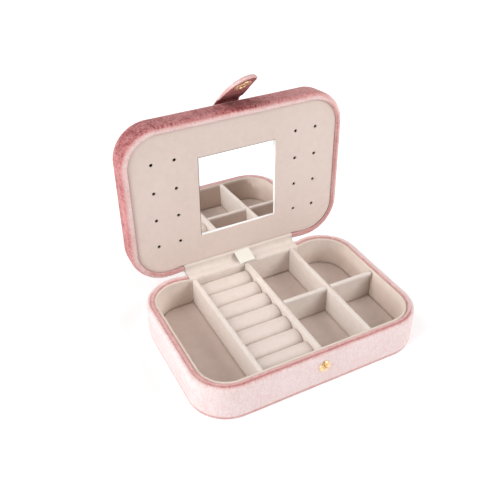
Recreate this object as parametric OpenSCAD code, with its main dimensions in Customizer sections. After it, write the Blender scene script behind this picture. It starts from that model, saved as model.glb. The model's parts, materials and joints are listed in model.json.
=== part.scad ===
// Travel jewelry box: a velvet-covered case with rounded corners, a lid on a
// soft fabric hinge, a snap-fastened closing flap, a mirror and rows of earring
// holes in the lid, and ring rolls and compartments in the base.
//
// Frame: the base stands on z = 0 with its underside centred on the origin.
// +X runs to the right, +Y to the back (the hinge), +Z up. The box is drawn
// open, with the lid just past upright and the flap lifted.
// Lengths are in millimetres, angles in degrees.

/* [Box] */
// Outer width of the box, left to right
box_w = 160; // [154:1:172]
// Outer depth of the box, front to back
box_d = 112; // [108:1:122]
// Height of the base, from its underside to the top of its rim
base_h = 26; // [25:0.5:30]
// Depth of the lid, from its rim to its padded top
lid_h = 17; // [16.5:0.5:21]
// Outer corner radius seen from above
corner_r = 25.5; // [20:0.5:28]

/* [Walls] */
// Width of the rolled velvet rim on the base and the lid
rim_t = 4.7; // [4.5:0.1:5]
// Thickness of the velvet and its backing
skin_t = 1; // [0.8:0.1:1.1]
// Thickness of the suede-covered liner inside the base
liner_t = 2.5; // [2:0.1:3]
// Thickness of the case boards under the floor and under the lid's top
plate_t = 2; // [1.6:0.1:2.4]

/* [Compartments] */
// Height of the floor's suede surface above the underside
floor_z = 5.2; // [5:0.1:6]
// Thickness of a suede-covered divider
divider_t = 3.4; // [3:0.1:4]
// Height of the dividers' rounded tops above the underside
divider_top = 25; // [22:0.5:25]
// Position of the divider between the long compartment and the ring rolls
left_divider_x = -40; // [-44:0.5:-36]
// Position of the divider between the ring rolls and the small compartments
middle_divider_x = 0.8; // [-2:0.1:4]
// Position of the divider that parts the small compartments left and right
right_divider_x = 37.6; // [34:0.1:42]
// Position of the divider that parts the small compartments front and back
cross_divider_y = -0.5; // [-6:0.5:6]

/* [Ring rolls] */
// Depth of one ring roll, front to back
roll_pitch = 13.6; // [13.2:0.1:13.9]
// Height of the rolls' crests above the underside
roll_top = 21.2; // [19:0.1:22]

/* [Lid panel] */
// Width of the mirror window
window_w = 57.5; // [50:0.5:62]
// Height of the mirror window
window_h = 58.8; // [50:0.1:62]
// How far the window's middle lies from the lid's middle, towards the hinge
window_y = 1; // [-2:0.1:3]
// Diameter of an earring hole
hole_d = 2.2; // [1.8:0.1:2.6]
// Distance of the inner columns of earring holes from the middle of the lid
hole_col_inner = 44; // [40:0.5:46]
// Distance of the outer columns of earring holes from the middle of the lid
hole_col_outer = 59.5; // [56:0.5:62]
// Distance between rows of earring holes
hole_row_pitch = 20.3; // [16:0.1:21]
// Rows of earring holes
hole_rows = 4; // [2:1:4]

/* [Hinge] */
// Angle between the open lid and the closed lid
open_angle = 91; // [80:1:100]
// Width of the fabric hinge
hinge_w = 86; // [70:1:96]
// Width of the satin ribbon tab
tab_w = 11.5; // [8:0.5:16]

/* [Closing flap] */
// Width of the flap
flap_w = 18; // [16:0.5:22]
// Distance from the middle of the flap's snap to its rounded tip
tip_l = 9.4; // [9:0.1:13]
// Thickness of the flap
flap_t = 2.6; // [2.4:0.1:3]
// Angle of the lifted flap from the lid's front wall
flap_lift = 40; // [30:1:75]
// Height of the base's snap above the underside
snap_z = 16.5; // [15:0.5:18]
// Diameter of the base's snap
stud_d = 8.8; // [8:0.1:11]
// Diameter of the flap's snap socket
socket_d = 12; // [11:0.5:12.5]

/* [Hidden] */
$fn = 96;

gap = 0.05;              // glue line between pieces of one body
lid_gap = 0.4;           // between the two rims when the box is closed
roll_r = rim_t / 2;      // radius of the rolled rim
board_in = skin_t + gap; // outer face of the case board, inwards from the outside
board_out = rim_t - skin_t + gap - 0.1;
fold_r = roll_r - skin_t - gap; // radius of the board's rounded edge
liner_in = rim_t + 0.1;
inner_e = liner_in + liner_t;   // inner face of the liner, from the outside
in_w = box_w - 2 * inner_e;     // clear width inside the liner
in_d = box_d - 2 * inner_e;
in_r = corner_r - inner_e;
sheet_t = 1.2;                  // the underside's covering panel
hinge_y = box_d / 2 + 0.3;      // the fold line of the fabric hinge
hinge_z = base_h - 0.3;
hinge_cut = 1.6;                // how far the rims are cut down at the hinge
root_off = 1.7;                 // the flap's fold line, out from the lid's wall
root_z = lid_h - 1.6;           // and up from the lid's rim
flap_shut = 4.5;                // the shut flap's angle from the wall
// distance along the flap from its fold line to the middle of its snap
snap_l = (base_h + lid_gap + root_z - snap_z - 2.2 * sin(flap_shut)) / cos(flap_shut);
flap_l = snap_l + tip_l;
panel_z = 1.5;                  // the earring panel's face above the lid's rim
panel_t = 1.2;
panel_e = 4.9;                  // the earring panel's edge, in from the outside
roll_count = 7;
roll_len = middle_divider_x - left_divider_x - divider_t - 0.5;

velvet = "#c98f90";
velvet_lit = "#e6c6c4";
suede = "#dccbc0";
suede_deep = "#b79d90";
roll_cream = "#efdfd2";
board_grey = "#a8a196";
foam_white = "#eeeae4";
gold = "#d9b36c";
satin = "#f4f0e4";

// ---- helpers ------------------------------------------------------------

// Rounded rectangle, w by d with corner radius r
module outline(w, d, r) {
  square([w - 2 * r, d], center = true);
  square([w, d - 2 * r], center = true);
  for (sx = [-1, 1], sy = [-1, 1])
    translate([sx * (w / 2 - r), sy * (d / 2 - r)]) circle(r);
}

// Plate whose edge lies e inside the box's outline, from height z0 to z1
module plate(e, z0, z1)
  translate([0, 0, z0]) linear_extrude(z1 - z0)
    outline(box_w - 2 * e, box_d - 2 * e, corner_r - e);

// Sweeps a 2D section round the box's outline. In the section, x is the
// distance inwards from the outline and y is the height.
module around() {
  for (q = [0:3]) {
    sx = (q == 0 || q == 3) ? 1 : -1;
    sy = (q < 2) ? 1 : -1;
    translate([sx * (box_w / 2 - corner_r), sy * (box_d / 2 - corner_r), 0])
      rotate([0, 0, 90 * q])
        rotate_extrude(angle = 90)
          translate([corner_r, 0]) mirror([1, 0]) children();
    side_len = (q % 2 == 0) ? box_w - 2 * corner_r : box_d - 2 * corner_r;
    side_off = (q % 2 == 0) ? box_d / 2 : box_w / 2;
    rotate([0, 0, 90 * q]) rotate([90, 0, 90])
      linear_extrude(side_len, center = true)
        translate([side_off, 0]) mirror([1, 0]) children();
  }
}

// Block that takes the rim away over the hinge, from depth z0 upwards
module hinge_zone(z0, z1)
  translate([-hinge_w / 2 - 0.5, box_d / 2 - inner_e - 0.2, z0])
    cube([hinge_w + 1, inner_e + 1, z1 - z0]);

// Puts a piece drawn in the lid's own frame (rim at z = 0, hinge edge at the
// back, closed position) where the open lid has it
module on_lid()
  translate([0, hinge_y, hinge_z]) rotate([-open_angle, 0, 0])
    translate([0, -hinge_y, base_h + lid_gap - hinge_z]) children();

// A point (y, z) of the lid's own frame, in the open box's frame
function lid_point(y, z) =
  let (a = y - hinge_y, b = z + base_h + lid_gap - hinge_z)
  [hinge_y + a * cos(open_angle) + b * sin(open_angle),
   hinge_z - a * sin(open_angle) + b * cos(open_angle)];

// Puts a piece drawn in the flap's own frame where the lifted flap has it. In
// that frame the fold line is the X axis, the flap hangs along -Z and its
// outer face looks along -Y.
module on_flap()
  on_lid() translate([0, -box_d / 2 - root_off, root_z])
    rotate([-flap_lift, 0, 0]) children();

// Extrudes a (y, z) section along X, centred
module along_x(len)
  rotate([90, 0, 90]) linear_extrude(len, center = true) children();

// ---- base ---------------------------------------------------------------

module bottom_panel() color(velvet) plate(0.15, 0, sheet_t);

// Case board of the base: floor and wall in one tray, rounded at the rim
module base_board() color(board_grey) {
  difference() {
    union() {
      around() {
        translate([board_in, sheet_t + gap])
          square([board_out - board_in, base_h - roll_r - sheet_t - gap]);
        translate([roll_r, base_h - roll_r]) circle(fold_r);
      }
      plate(board_out - 0.2, sheet_t + gap, sheet_t + gap + plate_t);
    }
    hinge_zone(base_h - hinge_cut, base_h + 1);
    snap_hole(1.85);
  }
}

// Hole through the front wall for the snap's rivet
module snap_hole(r)
  translate([0, -box_d / 2 + 6, snap_z]) rotate([90, 0, 0]) cylinder(r = r, h = 7);

// Velvet on the wall, rolled over the rim and turned in
module base_velvet_cover() color(velvet_lit) {
  difference() {
    around() difference() {
      union() {
        translate([0, sheet_t + gap]) square([skin_t, base_h - roll_r - sheet_t - gap]);
        translate([0, base_h - roll_r - 0.6]) square([rim_t, 0.6]);
        translate([rim_t - skin_t + gap, base_h - roll_r - 5]) square([skin_t - gap, 5]);
        translate([roll_r, base_h - roll_r]) circle(roll_r);
      }
      translate([board_in - gap, sheet_t])
        square([board_out - board_in + 2 * gap, base_h - roll_r - sheet_t]);
      translate([roll_r, base_h - roll_r]) circle(fold_r + gap);
    }
    hinge_zone(base_h - hinge_cut, base_h + 1);
    snap_hole(1.85);
    // room for the rivet's flange
    translate([0, -box_d / 2 + 6, snap_z]) rotate([90, 0, 0])
      cylinder(r = 4.7, h = 6 - board_out - 0.02);
  }
}

// Suede-covered liner that stands inside the rim, round on top
module base_liner() color(suede) {
  difference() {
    around() {
      translate([liner_in, sheet_t + plate_t + 2 * gap])
        square([liner_t, base_h - 0.6 - liner_t / 2 - sheet_t - plate_t - 2 * gap]);
      translate([liner_in + liner_t / 2, base_h - 0.6 - liner_t / 2]) circle(liner_t / 2);
    }
    hinge_zone(base_h - hinge_cut, base_h + 1);
  }
}

module floor_foam() color(foam_white)
  plate(inner_e + gap, sheet_t + plate_t + 2 * gap, floor_z - 1);

module floor_lining() color(suede_deep)
  plate(inner_e + gap, floor_z - 1 + gap, floor_z);

// Divider board of length len along Y, centred, with a round top
module divider(len) rotate([90, 0, 0]) linear_extrude(len, center = true) {
  translate([-divider_t / 2, floor_z + gap])
    square([divider_t, divider_top - divider_t / 2 - floor_z - gap]);
  translate([0, divider_top - divider_t / 2]) circle(divider_t / 2);
}

module left_divider() color(suede)
  translate([left_divider_x, 0, 0]) divider(in_d - 2 * gap);

module middle_divider() color(suede)
  translate([middle_divider_x, 0, 0]) divider(in_d - 2 * gap);

// The right and cross dividers halve into each other where they cross
lap_z = (floor_z + divider_top) / 2;

module right_divider() color(suede) difference() {
  translate([right_divider_x, 0, 0]) divider(in_d - 2 * gap);
  translate([right_divider_x, cross_divider_y, 0])
    translate([-divider_t, -divider_t / 2 - gap, 0])
      cube([2 * divider_t, divider_t + 2 * gap, lap_z]);
}

module cross_divider() color(suede) {
  x0 = middle_divider_x + divider_t / 2 + gap;
  x1 = in_w / 2 - gap;
  difference() {
    translate([(x0 + x1) / 2, cross_divider_y, 0]) rotate([0, 0, 90]) divider(x1 - x0);
    translate([right_divider_x - divider_t / 2 - gap, cross_divider_y - divider_t, lap_z - gap])
      cube([divider_t + 2 * gap, 2 * divider_t, divider_top]);
  }
}

// Ring roll number i, counted from the back: a foam bar with a round top,
// wrapped in suede
module ring_roll(i) color(roll_cream)
  translate([(left_divider_x + middle_divider_x) / 2,
             in_d / 2 - 0.1 - roll_pitch * (i - 0.5), 0])
    along_x(roll_len) {
      r = roll_pitch / 2 + 0.25;
      w = roll_pitch - 0.1;
      translate([-w / 2, floor_z + gap]) square([w, roll_top - r - floor_z - gap]);
      intersection() {
        translate([0, roll_top - r]) circle(r);
        translate([-w / 2, roll_top - 2 * r]) square([w, 2 * r]);
      }
    }

module ring_roll_1() ring_roll(1);
module ring_roll_2() ring_roll(2);
module ring_roll_3() ring_roll(3);
module ring_roll_4() ring_roll(4);
module ring_roll_5() ring_roll(5);
module ring_roll_6() ring_roll(6);
module ring_roll_7() ring_roll(7);

// Snap stud on the front wall: a plate with a raised ring and a hollow post
module snap_stud() color(gold)
  translate([0, -box_d / 2, snap_z]) rotate([90, 0, 0]) difference() {
    union() {
      cylinder(d = stud_d, h = 0.7);
      cylinder(d = stud_d - 1.6, h = 1);
      cylinder(d = 3.4, h = 2.1);
      translate([0, 0, 2.1]) rotate_extrude() intersection() {
        translate([1.4, 0]) circle(0.3);
        square([2, 1]);
      }
      translate([0, 0, 2]) cylinder(d = 2.8, h = 0.4);
    }
    translate([0, 0, 0.6]) cylinder(d = 1.6, h = 3);
    translate([0, 0, -1]) cylinder(d = 2.2, h = 1.3);
  }

// Rivet that holds the stud: a flange behind the board and a barrel through it
module snap_stud_rivet() color(gold)
  translate([0, -box_d / 2, snap_z]) rotate([90, 0, 0]) {
    translate([0, 0, -board_out - 0.55]) cylinder(d = 9, h = 0.5);
    translate([0, 0, -board_out - 0.1]) cylinder(d = 3.5, h = board_out + 0.05);
    translate([0, 0, -0.2]) cylinder(d = 2.1, h = 0.45);
  }

// ---- fabric hinge -------------------------------------------------------

// Velvet strip glued outside the two back walls, which carries the lid
module hinge_strip() color(velvet) {
  t = 0.6;
  y0 = box_d / 2 + gap;
  top = base_h - hinge_cut;
  a = lid_point(box_d / 2 + gap, hinge_cut + 0.1);
  b = lid_point(box_d / 2 + gap, 14);
  c = lid_point(box_d / 2 + gap + t, 14);
  d = lid_point(box_d / 2 + gap + t, hinge_cut + 0.4);
  along_x(hinge_w)
    polygon([[y0, 5], [y0 + t, 5], [y0 + t, top - 0.4], d, c, b, a, [y0, top + 0.1]]);
}

// Suede strip that covers the fold inside, from the earring panel's lower edge
// over both rims to the top of the liner
module hinge_lining() color(suede) {
  t = 0.6;
  z0 = base_h - hinge_cut + 0.1;
  y0 = box_d / 2 - inner_e + 0.2;
  a = lid_point(box_d / 2 - 0.3, hinge_cut - 0.1);
  b = lid_point(box_d / 2 - panel_e + 0.15, hinge_cut - 0.1);
  c = lid_point(box_d / 2 - panel_e + 0.15, hinge_cut - 0.1 - t);
  d = lid_point(box_d / 2 - 0.3, hinge_cut - 0.1 - t);
  along_x(hinge_w)
    polygon([[y0, z0], [box_d / 2 - 0.1, z0], a, b, c, d,
             [box_d / 2 - 0.4, z0 + t], [y0, z0 + t]]);
}

// ---- lid ----------------------------------------------------------------

// Case board of the lid: wall and top in one tray
module lid_board() color(board_grey) on_lid() difference() {
  union() {
    around() {
      translate([board_in, roll_r]) square([board_out - board_in, lid_h - 1.9 - roll_r]);
      translate([roll_r, roll_r]) circle(fold_r);
    }
    plate(board_out - 0.2, lid_h - 1.9 - plate_t, lid_h - 1.9);
  }
  hinge_zone(-1, hinge_cut);
  // recess for the flap's root
  translate([-flap_w / 2 - 0.2, -box_d / 2 + board_in - 1, 7])
    cube([flap_w + 0.4, 1.9, lid_h]);
}

// Velvet on the lid's wall, rolled over the rim and turned in
module lid_velvet_cover() color(velvet) on_lid() difference() {
  around() difference() {
    union() {
      translate([0, roll_r]) square([skin_t, lid_h - 1.9 - roll_r]);
      translate([0, roll_r]) square([rim_t, 0.6]);
      translate([rim_t - skin_t + gap, roll_r]) square([skin_t - gap, 5]);
      translate([roll_r, roll_r]) circle(roll_r);
    }
    translate([board_in - gap, roll_r])
      square([board_out - board_in + 2 * gap, lid_h]);
    translate([roll_r, roll_r]) circle(fold_r + gap);
  }
  hinge_zone(-1, hinge_cut);
  // slot that the flap's root comes out of
  translate([-flap_w / 2 - 0.2, -box_d / 2 - 1, root_z - 1.2])
    cube([flap_w + 0.4, 3, 3]);
}

module lid_top_foam() color(foam_white) on_lid()
  plate(1.8, lid_h - 1.9 + gap, lid_h - 0.9);

// Velvet-covered sheet that closes the top of the lid, with a soft edge
module lid_top_cover() color(velvet) on_lid() {
  plate(1.1, lid_h - 0.9 + gap, lid_h);
  around() {
    translate([0.2, lid_h - 1.9 + gap]) square([1.5, 1 - gap]);
    intersection() {
      translate([1.1, lid_h - 0.9]) circle(0.9);
      translate([0.2, lid_h - 0.9]) square([0.95, 0.9]);
    }
  }
}

// Card frame behind the earring panel
module panel_frame() color(board_grey) on_lid() around()
  translate([rim_t + 0.1, panel_z + panel_t + gap])
    square([3, lid_h - 1.9 - plate_t - gap - panel_z - panel_t - gap]);

// Where the window and the holes lie, measured from the hinge edge
window_c = box_d / 2;
first_row = window_c - (hole_rows - 1) / 2 * hole_row_pitch + 0.45;

module earring_panel() color(suede) on_lid() difference() {
  plate(panel_e, panel_z, panel_z + panel_t);
  translate([-window_w / 2, window_y - window_h / 2, 0]) cube([window_w, window_h, 6]);
  for (col = [-hole_col_outer, -hole_col_inner, hole_col_inner, hole_col_outer],
       row = [0:hole_rows - 1])
    translate([col, box_d / 2 - first_row - row * hole_row_pitch, 0])
      cylinder(d = hole_d, h = 6);
}

module mirror_plate(margin, z0, z1)
  translate([-window_w / 2 - margin, window_y - window_h / 2 - margin, z0])
    cube([window_w + 2 * margin, window_h + 2 * margin, z1 - z0]);

module mirror_glass() color("silver") on_lid()
  mirror_plate(3, panel_z + panel_t + gap, panel_z + panel_t + 2);

module mirror_backing() color(board_grey) on_lid()
  mirror_plate(4.5, panel_z + panel_t + 2 + gap, panel_z + panel_t + 3);

// Blank satin ribbon tab, caught under the earring panel's lower edge. It
// slants down over the fold, and its lower end is free.
module ribbon_tab() color(satin) {
  e = box_d / 2 - panel_e + 0.15;
  a = lid_point(e, 0.75);
  b = lid_point(e, 0.35);
  y0 = box_d / 2 - inner_e - 0.5;
  z0 = base_h + 1;
  translate([1, 0, 0]) along_x(tab_w)
    polygon([a, b, [y0, z0], [y0 + 0.16, z0 - 0.37], [a[0], a[1] - 0.3]]);
}

// A point of the flap's section in the lid's frame: s is measured outwards
// from the flap's middle, h upwards from its fold line
function flap_point(s, h) =
  [-box_d / 2 - root_off - s * cos(flap_lift) + h * sin(flap_lift),
   root_z + s * sin(flap_lift) + h * cos(flap_lift)];

// Root of the flap: it is caught between the lid's board and its velvet, comes
// out of the slot under the lid's top and folds into the flap
module flap_root_tab() color(velvet) on_lid() {
  y0 = -box_d / 2 + board_in;
  y1 = -box_d / 2 - 0.1;
  along_x(flap_w)
    polygon([[y0 + 0.8, 7.2], [y0, 7.2], [y0, root_z - 1.1], [y1, root_z - 1.1],
             flap_point(-1.2, gap), flap_point(0.3, gap), [y1, root_z - 0.35],
             [y0 + 0.8, root_z - 0.35]]);
}

// ---- closing flap -------------------------------------------------------

// The flap's outline, inset by e, drawn with its fold line on the X axis
module tongue(e) {
  r = flap_w / 2;
  translate([-r + e, -(flap_l - r)]) square([2 * (r - e), flap_l - r - e]);
  translate([0, -(flap_l - r)]) circle(r - e);
}

// Slab of the flap between two depths: s is measured outwards from its middle
module flap_slab(e, s0, s1)
  translate([0, -s0, 0]) rotate([90, 0, 0]) linear_extrude(s1 - s0) tongue(e);

// Cylinder across the flap at its snap, between two depths
module at_snap(d, s0, s1)
  translate([0, -s0, -snap_l]) rotate([90, 0, 0]) cylinder(d = d, h = s1 - s0);

module flap_outer_velvet() color(velvet) on_flap() difference() {
  flap_slab(0, 0.02, flap_t / 2);
  flap_slab(2 - gap, -1, 0.4 + gap);
  at_snap(3.1, -1, flap_t);
}

module flap_core() color(board_grey) on_flap() difference() {
  flap_slab(2, -0.4, 0.4);
  at_snap(6.6, -1, 1);
}

module flap_inner_velvet() color(velvet) on_flap() difference() {
  flap_slab(0, -flap_t / 2, -0.02);
  flap_slab(2 - gap, -0.4 - gap, 1);
  at_snap(6.6, -flap_t, 1);
}

// Domed cap outside the flap, with the post that clamps the socket
module snap_cap() color(gold) on_flap() {
  translate([0, -flap_t / 2 - 0.02, -snap_l]) rotate([90, 0, 0]) rotate_extrude() {
    square([socket_d / 2, 0.5]);
    intersection() {
      translate([0, -18.4]) circle(20);
      translate([0, 0.4]) square([socket_d / 2 - 0.6, 4]);
    }
  }
  at_snap(3, 0.25, flap_t / 2 + 0.1);
}

// Socket inside the flap, a plate with a ring round its hole and a closed neck
module snap_socket() color(gold) on_flap() difference() {
  union() {
    at_snap(socket_d, -flap_t / 2 - 0.6, -flap_t / 2 - 0.02);
    at_snap(socket_d - 2, -flap_t / 2 - 0.9, -flap_t / 2 - 0.1);
    at_snap(6.5, -flap_t / 2 - 0.1, 0.35);
  }
  at_snap(4.4, -3, 0);
  at_snap(3.1, -1, 1);
}

bottom_panel();
base_board();
base_velvet_cover();
base_liner();
floor_foam();
floor_lining();
left_divider();
middle_divider();
right_divider();
cross_divider();
ring_roll_1();
ring_roll_2();
ring_roll_3();
ring_roll_4();
ring_roll_5();
ring_roll_6();
ring_roll_7();
snap_stud();
snap_stud_rivet();
hinge_strip();
hinge_lining();
lid_board();
lid_velvet_cover();
lid_top_foam();
lid_top_cover();
panel_frame();
earring_panel();
mirror_glass();
mirror_backing();
ribbon_tab();
flap_root_tab();
flap_outer_velvet();
flap_core();
flap_inner_velvet();
snap_cap();
snap_socket();
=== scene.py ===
import json
import math

import bpy
import bmesh
import numpy as np
from mathutils import Matrix, Vector, noise


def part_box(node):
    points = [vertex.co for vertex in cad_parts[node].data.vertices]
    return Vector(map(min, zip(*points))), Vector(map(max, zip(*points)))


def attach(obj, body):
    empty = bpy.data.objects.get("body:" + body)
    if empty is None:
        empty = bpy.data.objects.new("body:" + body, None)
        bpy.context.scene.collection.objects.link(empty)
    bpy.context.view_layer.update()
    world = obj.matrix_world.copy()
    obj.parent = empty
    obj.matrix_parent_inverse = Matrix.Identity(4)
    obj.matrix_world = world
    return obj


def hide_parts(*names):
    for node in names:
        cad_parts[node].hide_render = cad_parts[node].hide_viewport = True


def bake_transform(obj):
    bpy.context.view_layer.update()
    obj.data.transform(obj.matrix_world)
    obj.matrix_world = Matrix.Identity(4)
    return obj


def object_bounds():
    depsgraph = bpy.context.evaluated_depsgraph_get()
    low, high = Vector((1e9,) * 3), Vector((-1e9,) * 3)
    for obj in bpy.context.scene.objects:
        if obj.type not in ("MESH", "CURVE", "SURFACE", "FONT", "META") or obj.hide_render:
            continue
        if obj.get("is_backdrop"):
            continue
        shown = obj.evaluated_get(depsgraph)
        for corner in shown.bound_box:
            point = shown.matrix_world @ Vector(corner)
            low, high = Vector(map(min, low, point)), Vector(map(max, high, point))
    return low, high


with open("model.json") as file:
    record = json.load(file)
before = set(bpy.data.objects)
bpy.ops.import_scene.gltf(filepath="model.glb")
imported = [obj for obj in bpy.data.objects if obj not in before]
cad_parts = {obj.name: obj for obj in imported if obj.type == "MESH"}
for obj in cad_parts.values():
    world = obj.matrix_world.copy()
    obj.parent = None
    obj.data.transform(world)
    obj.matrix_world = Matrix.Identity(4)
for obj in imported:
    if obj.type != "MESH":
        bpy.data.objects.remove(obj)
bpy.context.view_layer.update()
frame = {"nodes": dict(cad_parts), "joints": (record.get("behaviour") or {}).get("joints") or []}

# Lengths are in millimetres until a mesh is made.
scene = bpy.context.scene
JOINTS = {j["name"]: j for j in frame["joints"]}


def box_mm(node):
    lo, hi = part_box(node)
    return np.array(lo) * 1000, np.array(hi) * 1000


b_lo, b_hi = box_mm("base_velvet_cover")
W, D, H = b_hi[0] - b_lo[0], b_hi[1] - b_lo[1], b_hi[2]
R = 25.5                       # plan corner radius
GAP = 0.4                      # between the rims of the closed box
LID = 17.0                     # depth of the lid
RIM = 4.7                      # width of the rolled rim
INNER = 7.3                    # inner face of the liner, in from the outside
FLOOR = box_mm("floor_lining")[1][2]
HY, HZ = (v * 1000 for v in JOINTS["lid_hinge"]["pos_m"][1:])
OPEN = math.radians(JOINTS["lid_hinge"]["range_deg"][1])
ROOT_Y, ROOT_Z = -D / 2 - 1.7, LID - 1.6   # the flap's fold line, in the lid's frame
LIFT = math.radians(40)
s_lo, s_hi = box_mm("snap_stud")
SNAP_Z = (s_lo[2] + s_hi[2]) / 2
HINGE = (box_mm("hinge_lining")[1][0] - box_mm("hinge_lining")[0][0]) / 2   # half the fabric hinge's width


# ---- helpers ---------------------------------------------------------------

def lid_to_rest(p):
    """Points of the lid's own closed frame (rim at z 0), where the open lid has them."""
    p = np.array(p, float)
    y, z = p[..., 1] - HY, p[..., 2] + H + GAP - HZ
    q = p.copy()
    q[..., 1] = HY + y * math.cos(OPEN) + z * math.sin(OPEN)
    q[..., 2] = HZ - y * math.sin(OPEN) + z * math.cos(OPEN)
    return q


def rest_to_lid(p):
    p = np.array(p, float)
    y, z = p[..., 1] - HY, p[..., 2] - HZ
    q = p.copy()
    q[..., 1] = HY + y * math.cos(OPEN) - z * math.sin(OPEN)
    q[..., 2] = y * math.sin(OPEN) + z * math.cos(OPEN) + HZ - H - GAP
    return q


def n3(x, y=0.0, z=0.0):
    return noise.noise(Vector((x, y, z)))


def soft(x, y, z, size, seed=0.0):
    """Gentle noise of a given size in mm, about -1 to 1."""
    return n3(x / size + seed * 7.31, y / size - seed * 3.17, z / size + seed * 5.03)


def build(name, verts, faces, mats, smooth=True, uv=None, attrs=None, face_mats=None, fix=True):
    """A mesh object from points in mm. uv holds one pair per face corner."""
    me = bpy.data.meshes.new(name)
    me.from_pydata([tuple(np.array(v) / 1000.0) for v in verts], [], [tuple(f) for f in faces])
    for m in (mats if isinstance(mats, (list, tuple)) else [mats]):
        me.materials.append(m)
    if uv is not None:
        layer = me.uv_layers.new(name="UVMap")
        layer.data.foreach_set("uv", np.array(uv, np.float32).ravel())
    for key, values in (attrs or {}).items():
        a = me.attributes.new(key, "FLOAT", "POINT")
        a.data.foreach_set("value", np.array(values, np.float32))
    if face_mats is not None:
        me.polygons.foreach_set("material_index", np.array(face_mats, np.int32))
    if fix:
        bm = bmesh.new()
        bm.from_mesh(me)
        bmesh.ops.recalc_face_normals(bm, faces=bm.faces)
        bm.to_mesh(me)
        bm.free()
    me.polygons.foreach_set("use_smooth", [smooth] * len(me.polygons))
    me.update()
    ob = bpy.data.objects.new(name, me)
    scene.collection.objects.link(ob)
    return ob


def grid(name, P, mats, wrap_i=False, wrap_j=True, caps=True, U=None, V=None, attrs=None, **kw):
    """A mesh over a grid of points P[i][j] in mm. i runs along the piece, j round its section."""
    P = np.array(P, float)
    ni, nj = P.shape[:2]
    if U is None:
        step = np.linalg.norm(np.diff(P, axis=0), axis=2).mean(axis=1)
        U = np.concatenate([[0], np.cumsum(step)]) / 1000
        if wrap_i:
            U = np.append(U, U[-1] + np.linalg.norm(P[0] - P[-1], axis=1).mean() / 1000)
    if V is None:
        step = np.linalg.norm(np.diff(P, axis=1), axis=2).mean(axis=0)
        V = np.concatenate([[0], np.cumsum(step)]) / 1000
        if wrap_j:
            V = np.append(V, V[-1] + np.linalg.norm(P[:, 0] - P[:, -1], axis=1).mean() / 1000)
    faces, uv = [], []
    for i in range(ni if wrap_i else ni - 1):
        for j in range(nj if wrap_j else nj - 1):
            a, b = (i + 1) % ni, (j + 1) % nj
            faces.append((i * nj + j, a * nj + j, a * nj + b, i * nj + b))
            uv += [(U[i], V[j]), (U[i + 1], V[j]), (U[i + 1], V[j + 1]), (U[i], V[j + 1])]
    if caps and not wrap_i and wrap_j:
        for i, order in ((0, range(nj)), (ni - 1, range(nj - 1, -1, -1))):
            faces.append([i * nj + j for j in order])
            c = P[i].mean(axis=0)
            for j in order:
                uv.append((U[i] + (P[i, j, 0] - c[0]) / 1000, V[0] + (P[i, j, 2] - c[2]) / 1000))
    at = {k: np.broadcast_to(np.array(v, float), (ni, nj)).ravel() for k, v in (attrs or {}).items()}
    return build(name, P.reshape(-1, 3), faces, mats, uv=uv, attrs=at, **kw)


def spline(points, step=0.4, tension=0.5):
    """A smooth open curve through 2D or 3D points, resampled about every step mm."""
    p = np.array(points, float)
    q = np.vstack([2 * p[0] - p[1], p, 2 * p[-1] - p[-2]])
    out = [p[0]]
    for k in range(1, len(q) - 2):
        n = max(1, int(round(np.linalg.norm(q[k + 1] - q[k]) / step)))
        for t in np.linspace(0, 1, n + 1)[1:]:
            a, b, c, d = q[k - 1], q[k], q[k + 1], q[k + 2]
            out.append(b + tension * (c - a) * t
                       + (2 * tension * a + (tension - 3) * b + (3 - 2 * tension) * c - tension * d) * t * t
                       + (-tension * a + (2 - tension) * b + (tension - 2) * c + tension * d) * t ** 3)
    return np.array(out)


def normals2(line):
    """Left-hand unit normals of a 2D line."""
    t = np.gradient(line, axis=0)
    t /= np.linalg.norm(t, axis=1)[:, None]
    return np.stack([-t[:, 1], t[:, 0]], axis=1)


def outline(step=2.0, seg=24, extra=()):
    """The box's outline seen from above, anticlockwise from the front left: x, y, normal x, normal y, distance."""
    hw, hd = W / 2, D / 2
    pts = []

    def side(a, b, n, cuts=()):
        length = math.dist(a, b)
        k = max(2, round(length / step))
        for t in sorted(set([i / k for i in range(k)] + [c for c in cuts if 0 < c < 1])):
            pts.append((a[0] + (b[0] - a[0]) * t, a[1] + (b[1] - a[1]) * t, n[0], n[1]))

    def corner(cx, cy, a0):
        for i in range(seg):
            a = a0 + math.pi / 2 * i / seg
            pts.append((cx + R * math.cos(a), cy + R * math.sin(a), math.cos(a), math.sin(a)))

    side((-(hw - R), -hd), (hw - R, -hd), (0, -1))
    corner(hw - R, -(hd - R), -math.pi / 2)
    side((hw, -(hd - R)), (hw, hd - R), (1, 0))
    corner(hw - R, hd - R, 0)
    back = 2 * (hw - R)
    side((hw - R, hd), (-(hw - R), hd), (0, 1), [((hw - R) - x) / back for x in extra])
    corner(-(hw - R), hd - R, math.pi / 2)
    side((-hw, hd - R), (-hw, -(hd - R)), (-1, 0))
    corner(-(hw - R), -(hd - R), math.pi)
    p = np.array(pts)
    d = np.linalg.norm(np.roll(p[:, :2], -1, axis=0) - p[:, :2], axis=1)
    return np.column_stack([p, np.concatenate([[0], np.cumsum(d)[:-1]])]), d.sum()


CUTS = [s * (HINGE + c) for s in (-1, 1) for c in (-1.2, -0.4, 0.0, 0.25, 0.5, 0.8, 1.2, 2.0)]


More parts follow.
